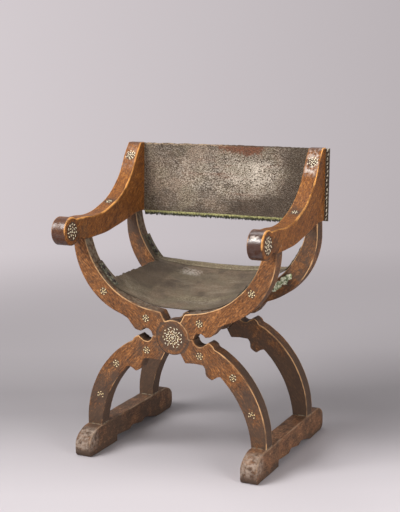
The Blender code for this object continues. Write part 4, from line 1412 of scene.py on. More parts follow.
@dataclass
class Cross:
    """One cross: two curved members halved into each other at the hip, and their pin."""

    end: End
    grain_degrees: float = 47.0
    lap_sides: int = 96
    lap_margin: float = 0.004
    line_inset: float = 0.0062
    groove_radius: float = 0.0514
    groove_half_width: float = 0.0009
    pin_radius: float = 0.008
    pin_head_radius: float = 0.015
    pin_head_height: float = 0.004
    pin_sunk: float = 0.006

    def build(self) -> None:
        """Build both members and the pin."""
        for letter, side, body in (("a", 1, LEFT), ("b", -1, RIGHT)):
            self.member(letter, side, body)
        self.pin()

    def member(self, letter: str, side: int, body: str) -> None:
        """Build one member with its half of the hip joint.

        Args:
            letter: The member's letter in its node's name.
            side: 1 for the member that stands on the right runner, -1 for the other.
            body: The body that it belongs to.
        """
        s = SIZES
        name = f"{self.end.label}_member_{letter}"
        place = Matrix.Translation((0, s.frame_y(self.end), s.pivot_height))
        groove = groove_circles(self.groove_radius, self.groove_half_width)
        plank = Plank(name, Outlines.member(self.end, side), s.member_thickness,
                      place @ Matrix.Rotation(QUARTER_TURN, 4, "X"), -self.grain_degrees * side,
                      3 + side + 5 * self.end.value, self.look, line_inset=self.line_inset,
                      circles=groove if side > 0 else ())
        new_piece(name + "_wood", plank.build([self.lap(side)]), Finishes.members, body,
                  [name])

    def lap(self, side: int) -> Mesh:
        """Make the round housing of the other member's disc, in a member's own frame.

        Args:
            side: 1 for the member that stands on the right runner, -1 for the other.

        Returns:
            The solid that is cut out of the member.
        """
        s = SIZES
        depth = s.member_thickness / 2 + s.fit_gap / 2 + self.lap_margin
        centre = -self.end.value * side * (s.fit_gap / 2 - depth / 2)
        radius = s.hip_radius + s.lap_gap
        return mesh_from(lambda shape: bmesh.ops.create_cone(
            shape, cap_ends=True, segments=self.lap_sides, depth=depth, radius1=radius, radius2=radius,
            matrix=Matrix.Translation((0, 0, centre))))

    def look(self, spot: Vector) -> Look:
        """Tell how old a point looks: dirty at the hip and low down, pale at the foot.

        Args:
            spot: The point in the chair's frame.

        Returns:
            Its look.
        """
        s = SIZES
        up = spot.z - s.pivot_height
        radius = math.hypot(spot.x, up)
        inner = self.end.value * (spot.y - s.frame_y(self.end)) < 0.015
        away = math.hypot(max(abs(spot.x) - s.bow_centre_x, 0), up - s.bow_inner_centre_height)
        seat_side = abs(away - s.bow_inner_radius) < 0.0012 and up > 0.06
        groove = not inner and abs(radius - self.groove_radius) < 0.0014
        dirt = (0.15 * eased(radius, 0.165, 0.085) + 0.3 * eased(radius, 0.044, 0.04)
                + 0.4 * eased(up, -0.02, -0.22) + 0.2 * eased(up, 0.235, 0.265)
                + 0.25 * inner + 0.2 * seat_side + 0.5 * groove)
        foot = eased(spot.z, s.runner_height + 0.0035, s.runner_height + 0.0005)
        # Less of the arris line, which is partly a painted highlight, on the lower left legs.
        return Look(dirt=dirt, pale=max(0.8 * foot, 0.3 * seat_side),
                    spared=0.001 * eased(up, -0.02, -0.05) * eased(spot.x, -0.03, -0.06))

    def pin(self) -> None:
        """Build the pin's head on the inside of the hip, a forged dome on a washer."""
        s = SIZES
        radius, height = self.pin_head_radius, self.pin_head_height
        neck = self.pin_radius
        profile = [(0, -self.pin_sunk), (neck, -self.pin_sunk), (neck, 0), (radius, 0), (radius, 0.0012),
                   (radius * 0.96, 0.0018), (radius * 0.74, 0.0021), (radius * 0.7, 0.003),
                   (radius * 0.52, height * 0.94), (radius * 0.25, height), (0, height * 1.02)]
        inner = s.frame_y(self.end) - self.end.value * (s.member_thickness / 2 + s.fit_gap)
        turn = Matrix.Rotation(QUARTER_TURN * self.end.value, 4, "X")
        mesh = lathe(profile, 32, Matrix.Translation((0, inner, s.pivot_height)) @ turn)
        name = f"{self.end.label}_pivot_pin"
        new_piece(name + "_head", mesh, Finishes.iron, LEFT, [name])


ALONG_THE_DEPTH = Matrix.Rotation(QUARTER_TURN, 4, "Z") @ Matrix.Rotation(QUARTER_TURN, 4, "X")


@dataclass
class Arm:
    """An arm with its scroll and its raked post, cut from one plank."""

    side: Side
    grain_degrees: float = 38.0
    rosette_ground: float = 0.0285
    groove_half_width: float = 0.0008
    polish: dict[Side, float] = field(default_factory=lambda: {Side.RIGHT: 0.98, Side.LEFT: 0.8})
    # How much of the worn patch and the painted highlight each arm gets.
    rubbed: dict[Side, float] = field(default_factory=lambda: {Side.RIGHT: 1.0, Side.LEFT: 0.2})

    def build(self) -> None:
        """Build the arm."""
        s = SIZES
        name = f"{self.side.label}_arm"
        centre_x = self.side.value * (s.arm_inner_half_span + s.arm_width / 2)
        self.origin = Vector((centre_x, s.scroll_centre_y, s.pivot_height + s.scroll_height))
        circles = groove_circles(self.rosette_ground, self.groove_half_width)
        plank = Plank(name, Outlines.arm(), s.arm_width, Matrix.Translation(self.origin) @ ALONG_THE_DEPTH,
                      self.grain_degrees, 11 + self.side.value, self.look, corner_blur=0.002,
                      least_wear=0.0016, most_wear=0.0036, circles=circles)
        new_piece(name + "_wood", plank.build(), Finishes.arms, self.side.arm_body,
                  [name])

    def look(self, spot: Vector) -> Look:
        """Tell how old a point looks: polished at the scroll and the post's top, dirty in hollows, with a
        painted highlight on the scroll and by the post's rosette.

        Args:
            spot: The point in the chair's frame.

        Returns:
            Its look.
        """
        s = SIZES
        across, along, up = spot - self.origin
        length, height, half = s.arm_length, s.post_height, s.arm_width / 2
        radius = math.hypot(along, up)
        skin = eased(radius, s.scroll_radius - 0.006, s.scroll_radius - 0.002)
        drum = skin * eased(along, 0.01, -0.02) * eased(abs(across), half + 0.002, half - 0.004)
        stain = max(drum * self.polish[self.side], 0.6 * eased(up, height - 0.012, height - 0.002))
        ground = radius < self.rosette_ground and abs(across) > half - 0.001
        neck = eased(math.hypot(along - 0.055, up + 0.01), 0.065, 0.015)
        bend = eased(math.hypot(along - 0.58 * length, up - 0.062), 0.042, 0.012)
        dirt = 0.9 * ground + 0.3 * neck + 0.35 * bend + 0.35 * eased(up, -0.03, -0.038) - 0.35 * stain
        # A pale patch round the post's rosette: worn wood, and in part a painted highlight.
        patch = eased(abs(up - height + 0.04), 0.044, 0.02) * eased(abs(across), 0.024, 0.012)
        patch *= eased(along, 0.8 * length, 0.8 * length + 0.02)
        patch *= eased(along, length - 0.006, length - 0.01)
        # Painted highlight: a glint on the upper front of the scroll's drum.
        painted_glint = skin * eased(abs(math.degrees(math.atan2(up, -along)) - 34), 16, 8)
        painted_glint *= eased(abs(across), half - 0.006, half - 0.012)
        return Look(stain, dirt, self.rubbed[self.side] * max(0.85 * patch, painted_glint))


@dataclass
class Runner:
    """A runner with a rounded toe and a lobed underside."""

    side: Side
    # The left runner's higher value is painted shade on its side that faces away from the key light, with
    # grime.
    grime: dict[Side, float] = field(default_factory=lambda: {Side.RIGHT: 0.25, Side.LEFT: 0.42})

    def build(self) -> None:
        """Build the runner."""
        s = SIZES
        name = f"{self.side.label}_runner"
        centre_x = self.side.value * (s.runner_inner_half_span + s.runner_width / 2)
        plank = Plank(name, Outlines.runner(), s.runner_width,
                      Matrix.Translation((centre_x, s.frames_middle, 0)) @ ALONG_THE_DEPTH, 0.0,
                      21 + self.side.value, self.look, least_wear=0.0016, most_wear=0.004,
                      corner_blur=0.002)
        new_piece(name + "_wood", plank.build(), Finishes.runners, self.side.runner_body,
                  [name])

    def look(self, spot: Vector) -> Look:
        """Tell how old a point looks: dirty at the sole, rubbed on the toe and a little on the heel, with
        painted shade on the left runner.

        Args:
            spot: The point in the chair's frame.

        Returns:
            Its look.
        """
        front = SIZES.frames_middle - SIZES.runner_front_reach
        rear = SIZES.frames_middle + SIZES.runner_rear_reach
        toe = eased(spot.y, front + 0.06, front + 0.03) * eased(spot.z, 0.012, 0.032)
        heel = eased(spot.y, rear - 0.03, rear - 0.01) * eased(spot.z, 0.03, 0.05)
        return Look(dirt=self.grime[self.side] + 0.25 * eased(spot.z, 0.03, 0),
                    pale=0.68 * toe + 0.25 * heel)


class GrowthTree(NodeSheet):
    """A geometry tree with named inputs, for what repeats."""

    def __init__(self, name: str, inputs: dict[str, str]) -> None:
        """Start the tree.

        Args:
            name: The tree's name.
            inputs: The kind of each input of its own by name.
        """
        every = {"Geometry": "Geometry", **inputs, "Seed": "Int", "Material": "Material"}
        sheet, self.given = new_tree(name, "GeometryNodeTree", every, {"Geometry": "Geometry"})
        super().__init__(sheet.tree)
        self.tree.is_modifier = True

    def vary(self, low: object, high: object, step: int) -> Value:
        """Return a random number for each point, from the tree's seed moved on by a step."""
        inputs = {2: low, 3: high, "Seed": self.given["Seed"] + step}
        return self.out("FunctionNodeRandomValue", inputs, 1, data_type="FLOAT")

    def vary_three(self, low: object, high: object, step: int) -> Value:
        """Return a vector of three random numbers."""
        return self.joined(*(self.vary(low, high, step + k) for k in range(3)))

    def together(self, *parts: Value) -> Value:
        """Join geometries.

        Args:
            parts: The geometries.

        Returns:
            All of them as one.
        """
        node = self.add("GeometryNodeJoinGeometry")
        for part in parts:
            self.tree.links.new(part.socket, node.inputs[0])
        return Value(self, node.outputs[0])

    def close(self, instances: Value, *kept: Value) -> "GrowthTree":
        """Realize the instances, join them to what is kept, set the material and end the tree.

        Args:
            instances: What the tree has set out.
            kept: Geometry that stays as it is.

        Returns:
            The tree.
        """
        solid = self.out("GeometryNodeRealizeInstances", {0: instances})
        if kept:
            solid = self.together(solid, *kept)
        self.add("NodeGroupOutput", {0: self.out(
            "GeometryNodeSetMaterial", {"Geometry": solid, "Material": self.given["Material"]})})
        return self

    def grow(self, ob: Object, values: dict[str, object]) -> None:
        """Put the tree on an object as a modifier.

        Args:
            ob: The object.
            values: The inputs' values by name.
        """
        modifier = ob.modifiers.new(self.tree.name, "NODES")
        modifier.node_group = self.tree
        for item in self.tree.interface.items_tree:
            if item.in_out == "INPUT" and item.name in values:
                modifier[item.identifier] = values[item.name]


class Growths:
    """The chair's geometry trees, each built once."""

    @staticmethod
    @cache
    def petal_ring() -> GrowthTree:
        """Build what adds one ring of inlaid slivers to a rosette.

        Returns:
            The tree.
        """
        own = dict.fromkeys(("Radius", "Length", "Width", "Rise", "Lean", "Start", "Jitter", "Lost"),
                            "Float")
        tree = GrowthTree("petal_ring", {"Petals": "Int", **own})
        given = tree.given
        ring = tree.out("GeometryNodeMeshCircle", {"Vertices": given["Petals"],
                                                   "Radius": given["Radius"]})
        place = tree.outputs(tree.add("ShaderNodeSeparateXYZ",
                                      {0: tree.out("GeometryNodeInputPosition")}))
        turn = tree.maths("ARCTAN2", place["Y"], place["X"])
        turn += given["Lean"] + tree.vary(-0.16, 0.16, 1)
        least = 1 - given["Jitter"]
        size = tree.joined(given["Length"] * tree.vary(least, 1.06, 2),
                           given["Width"] * tree.vary(least, 1.15, 3), given["Rise"])
        petal = tree.out("GeometryNodeMeshCylinder", {"Vertices": 6, "Side Segments": 1,
                                                      "Fill Segments": 1, "Radius": 0.5, "Depth": 1.0})
        kept = tree.maths("GREATER_THAN", tree.vary(0.0, 1.0, 4), given["Lost"])
        laid = tree.out("GeometryNodeInstanceOnPoints", {
            "Points": ring, "Instance": petal, "Selection": kept, "Rotation": tree.joined(z=turn),
            "Scale": size})
        start = tree.joined(z=given["Start"])
        return tree.close(tree.out("GeometryNodeTransform", {"Geometry": laid, "Rotation": start}),
                          given["Geometry"])

    @staticmethod
    @cache
    def set_row() -> GrowthTree:
        """Build what sets a shape at each point, as nails, stitches and strands are set.

        Returns:
            The tree.
        """
        tree = GrowthTree("set_row", {"Shape": "Object", "Size Jitter": "Float", "Turn Jitter": "Float",
                                      "Place Jitter": "Float"})
        size, turn, place = (tree.given[f"{key} Jitter"] for key in ("Size", "Turn", "Place"))
        turned = tree.out("FunctionNodeRotateRotation", {
            0: tree.out("GeometryNodeInputNamedAttribute", {"Name": "turn"}, data_type="FLOAT_VECTOR"),
            1: tree.vary_three(turn * -1.0, turn, 1)}, rotation_space="LOCAL")
        shape = tree.out("GeometryNodeObjectInfo", {"Object": tree.given["Shape"]}, "Geometry")
        points = tree.out("GeometryNodeSetPosition", {"Geometry": tree.given["Geometry"],
                                                      "Offset": tree.vary_three(place * -1.0, place, 7)})
        return tree.close(tree.out("GeometryNodeInstanceOnPoints", {
            "Points": points, "Instance": shape, "Rotation": turned,
            "Scale": tree.vary_three(1 - size, size + 1, 4)}))

    @staticmethod
    @cache
    def twisted_cord() -> GrowthTree:
        """Build what lays a cord of twisted plies along a line.

        Returns:
            The tree.
        """
        tree = GrowthTree("twisted_cord", {"Ply Radius": "Float", "Twist Length": "Float",
                                           "Step": "Float"})
        given, radius = tree.given, tree.given["Ply Radius"]
        line = tree.out("GeometryNodeResampleCurve", {
            "Curve": tree.out("GeometryNodeMeshToCurve", {0: given["Geometry"]}), 3: given["Step"]},
            mode="LENGTH")
        along = tree.out("GeometryNodeSplineParameter", None, "Length")
        normal, tangent = tree.out("GeometryNodeInputNormal"), tree.out("GeometryNodeInputTangent")
        other = tree.vector("CROSS_PRODUCT", normal, tangent)
        phase = along / given["Twist Length"] * (2 * math.pi)
        tubes = []
        for ply in range(2):
            turn = phase + ply * math.pi
            side, rise = (tree.maths(way, turn) * radius for way in ("COSINE", "SINE"))
            shift = tree.vector("ADD", tree.vector("SCALE", normal, side),
                                tree.vector("SCALE", other, rise))
            path = tree.out("GeometryNodeSetPosition", {"Geometry": line, "Offset": shift})
            section = tree.out("GeometryNodeCurvePrimitiveCircle", {"Resolution": 6, "Radius": radius})
            tubes.append(tree.out("GeometryNodeCurveToMesh", {"Curve": path, "Profile Curve": section,
                                                              "Fill Caps": True}))
        return tree.close(tree.together(*tubes))


def set_pieces(places: Sequence[tuple[Vector, Euler]], shape: Mesh, finish: Finish, seed: int,
               size_jitter: float = 0.0, turn_jitter: float = 0.0, place_jitter: float = 0.0) -> Mesh:
    """Set a shape at each place.

    Args:
        places: Point and turn of each.
        shape: The shape that is set there.
        finish: The finish that it gets.
        seed: Seed of its unevenness.
        size_jitter: Largest change of size, as a share.
        turn_jitter: Largest change of turn in radians.
        place_jitter: Largest shift in metres.

    Returns:
        The mesh of all.
    """
    mesh = bpy.data.meshes.new("places")
    mesh.from_pydata([tuple(point) for point, _ in places], [], [])
    store(mesh, "turn", [tuple(turn) for _, turn in places])
    model, ob = temporary(shape), temporary(mesh)
    Growths.set_row().grow(ob, {"Shape": model, "Size Jitter": size_jitter, "Turn Jitter": turn_jitter,
                                "Place Jitter": place_jitter, "Seed": seed, "Material": finish.material()})
    result = evaluated_mesh(ob)
    bpy.data.objects.remove(model, do_unlink=True)
    return result


def twisted(points: Sequence[Vector], ply_radius: float, twist: float, finish: Finish) -> Mesh:
    """Lay a twisted cord through points.

    Args:
        points: The points.
        ply_radius: Radius of each of its two plies.
        twist: Length of one full twist.
        finish: The finish that it gets.

    Returns:
        The cord's mesh.
    """
    mesh = bpy.data.meshes.new("line")
    mesh.from_pydata([tuple(p) for p in points], [(i, i + 1) for i in range(len(points) - 1)], [])
    ob = temporary(mesh)
    Growths.twisted_cord().grow(ob, {"Ply Radius": ply_radius, "Twist Length": twist, "Step": twist / 8,
                                     "Seed": 1, "Material": finish.material()})
    return evaluated_mesh(ob)


@dataclass(frozen=True)
class PetalRing:
    """One ring of slivers in a rosette, with lengths in metres and turns in degrees."""

    petals: int
    radius: float
    length: float
    width: float
    lean: float = 0.0
    start: float = 0.0


@dataclass(frozen=True)
class Rosette:
    """An inlaid rosette made of rings of bone slivers."""

    rings: tuple[PetalRing, ...]
    rise: float = 0.001
    jitter: float = 0.18
    lost: float = 0.05

    def mesh(self, seed: int) -> Mesh:
        """Make the rosette about its own centre, facing up.

        Args:
            seed: Seed of its unevenness.

        Returns:
            The mesh.
        """
        ob = temporary(bpy.data.meshes.new("rosette"))
        for number, ring in enumerate(self.rings):
            Growths.petal_ring().grow(ob, {
                "Petals": ring.petals, "Radius": ring.radius, "Length": ring.length, "Width": ring.width,
                "Rise": self.rise, "Lean": math.radians(ring.lean), "Start": math.radians(ring.start),
                "Jitter": self.jitter, "Lost": self.lost, "Seed": seed * 10 + number,
                "Material": Finishes.bone.material()})
        return evaluated_mesh(ob)


def rosette(*rings: tuple[float, ...], **rest: float) -> Rosette:
    """Return a rosette from its rings' values in order."""
    return Rosette(tuple(PetalRing(*ring) for ring in rings), **rest)


SMALL_ROSETTE = rosette((4, 0.0036, 0.0046, 0.0022), (6, 0.0092, 0.0048, 0.0027, 72))
BEND_ROSETTE = rosette((6, 0.0066, 0.0068, 0.0032), lost=0.0)
POST_ROSETTE = rosette((3, 0.0026, 0.0044, 0.0032), (7, 0.009, 0.0062, 0.0036, 30),
                       (10, 0.0154, 0.006, 0.0036, 80, 12))
SCROLL_ROSETTE = rosette((3, 0.0034, 0.0064, 0.0038), (7, 0.0122, 0.0088, 0.0041, 42),
                         (11, 0.0216, 0.009, 0.0041, -46, 8))
HIP_ROSETTE = rosette((5, 0.0036, 0.006, 0.0024), (9, 0.0106, 0.007, 0.0023, 75),
                      (9, 0.018, 0.0092, 0.0024, 32, -7), (9, 0.019, 0.0086, 0.0024, -42, 14),
                      (9, 0.0268, 0.0084, 0.0024, 28, -4), (9, 0.0306, 0.0074, 0.0024, 78, 20), lost=0.1)
ROSETTES = {"hip": HIP_ROSETTE, "roundel": SMALL_ROSETTE, "bend": BEND_ROSETTE, "post": POST_ROSETTE,
            "arm": SCROLL_ROSETTE}


@dataclass
class Inlay:
    """The rosettes, each where the frame has its disc."""

    arm_places: tuple[str, ...] = ("outer", "inner", "bend", "post")
    roundels: int = 5
    sides: int = 32

    def build(self) -> None:
        """Build one piece for each group of rosettes."""
        self.group("hip_inlay", LEFT, ["hip_rosette"])
        for letter, body in (("a", LEFT), ("b", RIGHT)):
            nodes = [f"roundel_{letter}{i + 1}" for i in range(self.roundels)]
            self.group(f"roundels_{letter}_inlay", body, nodes)
        for side in Side:
            nodes = [f"{side.label}_arm_{where}_rosette" for where in self.arm_places]
            self.group(f"{side.label}_arm_inlay", side.arm_body, nodes)

    def group(self, name: str, body: str, nodes: list[str]) -> None:
        """Build the slivers of a few rosettes, and the mastic around them.

        Args:
            name: The piece's name.
            body: The body that carries it.
            nodes: The rosettes' nodes.
        """
        parts = []
        for seed, node in enumerate(nodes, 1):
            kind = next(kind for key, kind in ROSETTES.items() if key in node)
            parts.append((kind.mesh(seed), self.place(node, seed * 0.7)))
        finish = Finishes.gold_bone if "roundels" in name else Finishes.bone
        new_piece(name, joined(parts), finish, body, nodes, crisp_degrees=30)
        if "hip" not in name:
            grounds = [(self.ground(node), self.place(node, 0)) for node in nodes]
            new_piece(name + "_ground", joined(grounds), Finishes.mastic, body,
                      crisp_degrees=30)

    def ground(self, node: str) -> Mesh:
        """Make the shallow disc of mastic that a rosette's slivers are set in.

        Args:
            node: The rosette's node.

        Returns:
            The disc about its own centre.
        """
        low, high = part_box(node)
        radius = max(high - low) / 2
        return lathe([(0, -0.0006), (radius, -0.0006), (radius, 0.0001), (radius * 0.96, 0.0002),
                      (0, 0.0002)], self.sides)

    @staticmethod
    def disc(node: str) -> tuple[Vector, Vector]:
        """Find a rosette's disc in the frame.

        Args:
            node: The rosette's node.

        Returns:
            The middle of the disc's show face and the way it faces.
        """
        points = np.array([v.co for v in frame["nodes"][node].data.vertices], float)
        low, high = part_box(node)
        centre = (low + high) / 2
        _, axes = np.linalg.eigh(np.cov((points - points.mean(axis=0)).T))
        normal = Vector(axes[:, 0])
        lift = float(np.abs((points - np.array(centre)) @ axes[:, 0]).max())
        wanted = Vector((0, -1, 0.4))
        if "outer" in node or "inner" in node:
            wanted = Vector((centre.x if "outer" in node else -centre.x, 0, 0))
        if normal.dot(wanted) < 0:
            normal = -normal
        return centre + normal * lift, normal.normalized()

    def place(self, node: str, spin: float) -> Matrix:
        """Find where a rosette lies on its disc's face.

        Args:
            node: The rosette's node.
            spin: Its turn about its own axis.

        Returns:
            The matrix of its place.
        """
        centre, normal = self.disc(node)
        turn = normal.to_track_quat("Z", "Y").to_matrix().to_4x4()
        return Matrix.Translation(centre) @ turn @ Matrix.Rotation(spin, 4, "Z")


@dataclass
class Sheet:
    """A sheet with thickness, laid out by two shares from 0 to 1."""

    name: str
    columns: int
    rows: int
    place: Callable[[float, float], Vector]
    thickness: Callable[[float, float], float]
    outward: int = 1
    reverse: float = 1.0
    marks: Callable[[float, float], dict[str, float]] | None = None

    def build(self) -> Mesh:
        """Make the closed mesh, thick on the side that outward says.

        Returns:
            The mesh, with its marks kept at its points, fainter on the reverse by its share.
        """
        nu, nv = self.columns + 1, self.rows + 1
        count = nu * nv
        shares = [(i / self.columns, j / self.rows) for j in range(nv) for i in range(nu)]
        base = np.array([self.place(u, v) for u, v in shares]).reshape(nv, nu, 3)
        normal = np.cross(np.gradient(base, axis=1), np.gradient(base, axis=0))
        normal /= np.maximum(np.linalg.norm(normal, axis=2), 1e-9)[:, :, None]
        thick = np.array([self.thickness(u, v) for u, v in shares]).reshape(nv, nu, 1)
        other = base + normal * thick * self.outward
        faces = []
        for a in (j * nu + i for j in range(self.rows) for i in range(self.columns)):
            quad = (a, a + 1, a + nu + 1, a + nu)
            faces += [quad, tuple(k + count for k in quad[::-1])]
        grid = np.arange(count).reshape(nv, nu)
        ring = [int(k) for side in (grid[0], grid[1:, -1], grid[-1, -2::-1], grid[-2:0:-1, 0])
                for k in side]
        faces += [(a, b, b + count, a + count) for a, b in zip(ring, ring[1:] + ring[:1])]
        plain = bpy.data.meshes.new(self.name)
        plain.from_pydata([tuple(p) for p in (*base.reshape(-1, 3), *other.reshape(-1, 3))], [], faces)

        def turn_out(shape: bmesh.types.BMesh) -> None:
            """Take the plain mesh and turn its faces outwards."""
            shape.from_mesh(plain)
            bmesh.ops.recalc_face_normals(shape, faces=shape.faces)

        mesh = mesh_from(turn_out)
        found = [self.marks(u, v) for u, v in shares] if self.marks else [{}]
        for key in found[0]:
            front = np.array([marks[key] for marks in found])
            store(mesh, key, np.concatenate([front, front * self.reverse]))
        return mesh


@dataclass
class SeatSling:
    """The leather seat slung between the bows, with its stitched rear hem."""

    front_degrees: float = 60.0
    rear_degrees: float = 67.1
    side_degrees: float = 45.8
    corner_degrees: float = 22.0
    held_degrees: float = 41.0
    leave_degrees: float = 46.5
    loose_degrees: float = 40.0
    rear_height: float = 0.144
    sweep: float = 1.7
    front_reach: float = 0.1425
    corner_reach: float = 0.166
    rear_reach: float = 0.19
    strap_share: float = 0.095
    rear_strap_share: float = 0.86
    hem_share: float = 0.915
    hem_thickness: float = 0.0011
    columns: int = 220
    rows: int = 110
    stitch_rows: tuple[float, float] = (0.926, 0.984)
    stitch_count: int = 64
    stitch_start: float = 0.2
    flat: tuple[float, float] = (0.66, 0.36)
    area: float = 0.19

    @staticmethod
    def bow_height(x: float) -> float:
        """Return the bows' inner edge above the pivot at a distance from the middle."""
        away = max(abs(x) - SIZES.bow_centre_x, 0)
        return SIZES.bow_inner_centre_height - half_chord(SIZES.bow_inner_radius, away)

    @staticmethod
    def span(degrees: float) -> float:
        """Return the half span of the bows' inner edge at an angle from its lowest point."""
        return SIZES.bow_centre_x + SIZES.bow_inner_radius * math.sin(math.radians(degrees))

    @staticmethod
    def length_to(x: float) -> float:
        """Return the length along the bows' inner edge out to a half span."""
        s = SIZES
        return s.bow_centre_x + s.bow_inner_radius * math.asin((x - s.bow_centre_x) / s.bow_inner_radius)

    @staticmethod
    def span_at(length: float) -> float:
        """Return the half span at a length along the bows' inner edge."""
        beyond = max(length - SIZES.bow_centre_x, 0) / SIZES.bow_inner_radius
        return min(length, SIZES.bow_centre_x) + SIZES.bow_inner_radius * math.sin(beyond)

    def half_span(self, side: int, along: float) -> float:
        """Work out how far out the sheet reaches: up the bows at its ends, ragged between them.

        Args:
            side: 1 for the right edge, -1 for the left.
            along: Share of the depth, from the front.

        Returns:
            The half span.
        """
        ragged = self.span(self.side_degrees) - 0.001
        ragged += 0.0035 * wave(along * 9, side, 3) + 0.003 * wave(along * 34, side, 9)
        ragged -= 0.007 * max(0, wave(along * 17, side * 2, 5) - 0.25)
        reach = max(eased(along, self.strap_share + 0.015, self.strap_share - 0.02),
                    eased(along, self.rear_strap_share - 0.02, self.rear_strap_share + 0.015))
        end = self.front_degrees if along < 0.5 else self.rear_degrees
        return ragged + (self.span(end) - ragged) * reach

    def point(self, across: float, along: float) -> Vector:
        """Lay out the underside.

        Args:
            across: Share of the width, from the left.
            along: Share of the depth, from the front.

        Returns:
            The point in the chair's frame.
        """
        s = SIZES
        side = 1 if across > 0.5 else -1
        x = self.span_at(abs(2 * across - 1) * self.length_to(self.half_span(side, along)))
        front = -self.front_reach
        front -= (self.corner_reach - self.front_reach) * eased(
            x, self.span(self.corner_degrees), self.span(self.held_degrees))
        y = front + (self.rear_reach - front) * along
        lying = self.bow_height(x)
        leave = self.span(self.leave_degrees)
        fall = (self.bow_height(leave) - self.rear_height) * min(x / leave, 1) ** 2
        hung = max(self.rear_height + fall, lying) if x < leave else lying
        height = lying + (hung - lying) * along ** self.sweep
        loose = self.span(self.loose_degrees)
        folds = 0.0012 * wave(x * side * 9, y * 26, 1) + 0.0009 * wave(x * side * 30, y * 14, 2)
        height += eased(x, loose, loose - 0.05) * eased(along, 0, 0.15) * (0.0016 + folds)
        edge = max(0, 1 - along / 0.02) * 0.0012 * wave(side * x * 40, 0, 4)
        return Vector((side * x, s.frames_middle + y + edge, s.pivot_height + height + 2 * s.fit_gap))

    def thickness(self, across: float, along: float) -> float:
        """Work out the leather's thickness: folded over at the hem, pressed in at its seam.

        Args:
            across: Share of the width.
            along: Share of the depth.

        Returns:
            The thickness in metres.
        """
        hem = eased(along, self.hem_share, self.hem_share + 0.006) * self.hem_thickness
        seam = 0.0005 * max(0, 1 - abs(along - 0.975) / 0.006)
        return SIZES.leather_thickness - 0.0005 + hem - seam + 0.00025 * wave(across * 90, along * 60, 6)

    def marks(self, across: float, along: float) -> dict[str, float]:
        """Tell how worn the leather is, and where shadow, shade and sheen are painted on it.

        Args:
            across: Share of the width.
            along: Share of the depth.

        Returns:
            How glossy, dark, rubbed and red the point is, and how red its creases are; gloss and the
            rubbed mark hold painted sheen, and the dark mark painted shadow and shade.
        """
        hem = self.hem_share
        scuff = eased(math.hypot((across - 0.315) * 2.2, (along - 0.8) * 2.6), 0.25, 0.05)
        # Painted sheen: a glossy patch in front, which lowers the roughness and brings out painted glints.
        gloss = eased(math.hypot((across - 0.6) * 1.4, (along - 0.25) * 3.0), 0.4, 0.1)
        seam = max(0, 1 - abs(along - hem + 0.004) / 0.014)
        # Painted shadow: a dark line along the front edge, where the leather lifts off the bow.
        front = eased(along, 0.012 + 0.026 * eased(abs(across - 0.5), 0.03, 0.13), 0)
        left = eased(across, 0.215, 0.185) * eased(along, 0.2, 0.3)
        # Painted shade: the right end is darker, as light from the left reaches it less.
        right = eased(across, 0.64, 0.76) * eased(along, hem, hem - 0.02)
        folded = eased(along, hem, hem + 0.006) * (0.8 + 0.5 * wave(across * 40, along * 90, 2))
        # Painted sheen: a pale band across the front part, carried by the rubbed mark.
        streak = eased(abs(along - 0.28 - 0.15 * (across - 0.5)), 0.1, 0.01)
        streak *= eased(abs(across - 0.58), 0.3, 0.1)
        return {"shine": 0.7 * scuff + 0.22 * gloss, "red": 0.0, "streaked": 0.0,
                "dark": max(0.95 * seam, 0.9 * front, 0.6 * left, 0.52 * right),
                "rubbed": 0.75 * folded + 0.55 * streak}

    def build(self) -> None:
        """Build the seat and its stitches."""
        mesh = Sheet("seat", self.columns, self.rows, self.point, self.thickness,
                     marks=self.marks).build()
        seat = new_piece("seat_leather_sling", mesh, Finishes.seat,
                         nodes=["seat_leather"])
        start, end = ((side.value * self.span(44), 0.0, 0.45) for side in Side)
        stitches = self.stitches()
        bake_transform(seat)
        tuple(start)
        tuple(end)
        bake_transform(stitches)
        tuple(start)
        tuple(end)

    def stitches(self) -> Object:
        """Build two rows of stitches along the rear hem.

        Returns:
            The piece.
        """
        places = []
        for along in self.stitch_rows:
            for i in range(self.stitch_count):
                across = self.stitch_start + (1 - 2 * self.stitch_start) * (i + 0.5) / self.stitch_count
                here, there = self.point(across, along), self.point(across + 0.004, along)
                lift = Vector((0, 0, self.thickness(across, along) + 0.0001))
                places.append((here + lift, (there - here).to_track_quat("X", "Z").to_euler()))
        profile = [(0, -0.0026), (0.0005, -0.0023), (0.0007, -0.001), (0.0007, 0.001), (0.0005, 0.0023),
                   (0, 0.0026)]
        stitch = lathe(profile, 6, Matrix.Rotation(QUARTER_TURN, 4, "Y"))
        mesh = set_pieces(places, stitch, Finishes.thread, seed=5, size_jitter=0.15, turn_jitter=0.08,
                          place_jitter=0.0002)
        return new_piece("seat_hem_stitches", mesh, Finishes.thread)


def braided(across: float, along: float, cord: float, cord_width: float, thickness: float) -> float:
    """Work out a braid's thickness: plaited strands between two edge cords.

    Args:
        across: Share of its width.
        along: Length in strands.
        cord: How far the cords lie from the middle, as a share of the width.
        cord_width: Half the width of a cord, as a share too.
        thickness: Its full thickness.

    Returns:
        The thickness in metres.
    """
    aside = abs(across - 0.5)
    edge = max(0, 1 - abs(aside - cord) / cord_width)
    plait = abs(math.sin(math.pi * (along + aside * 5)))
    return 0.0006 + (thickness - 0.0006) * max(edge, 0.25 + 0.6 * plait)


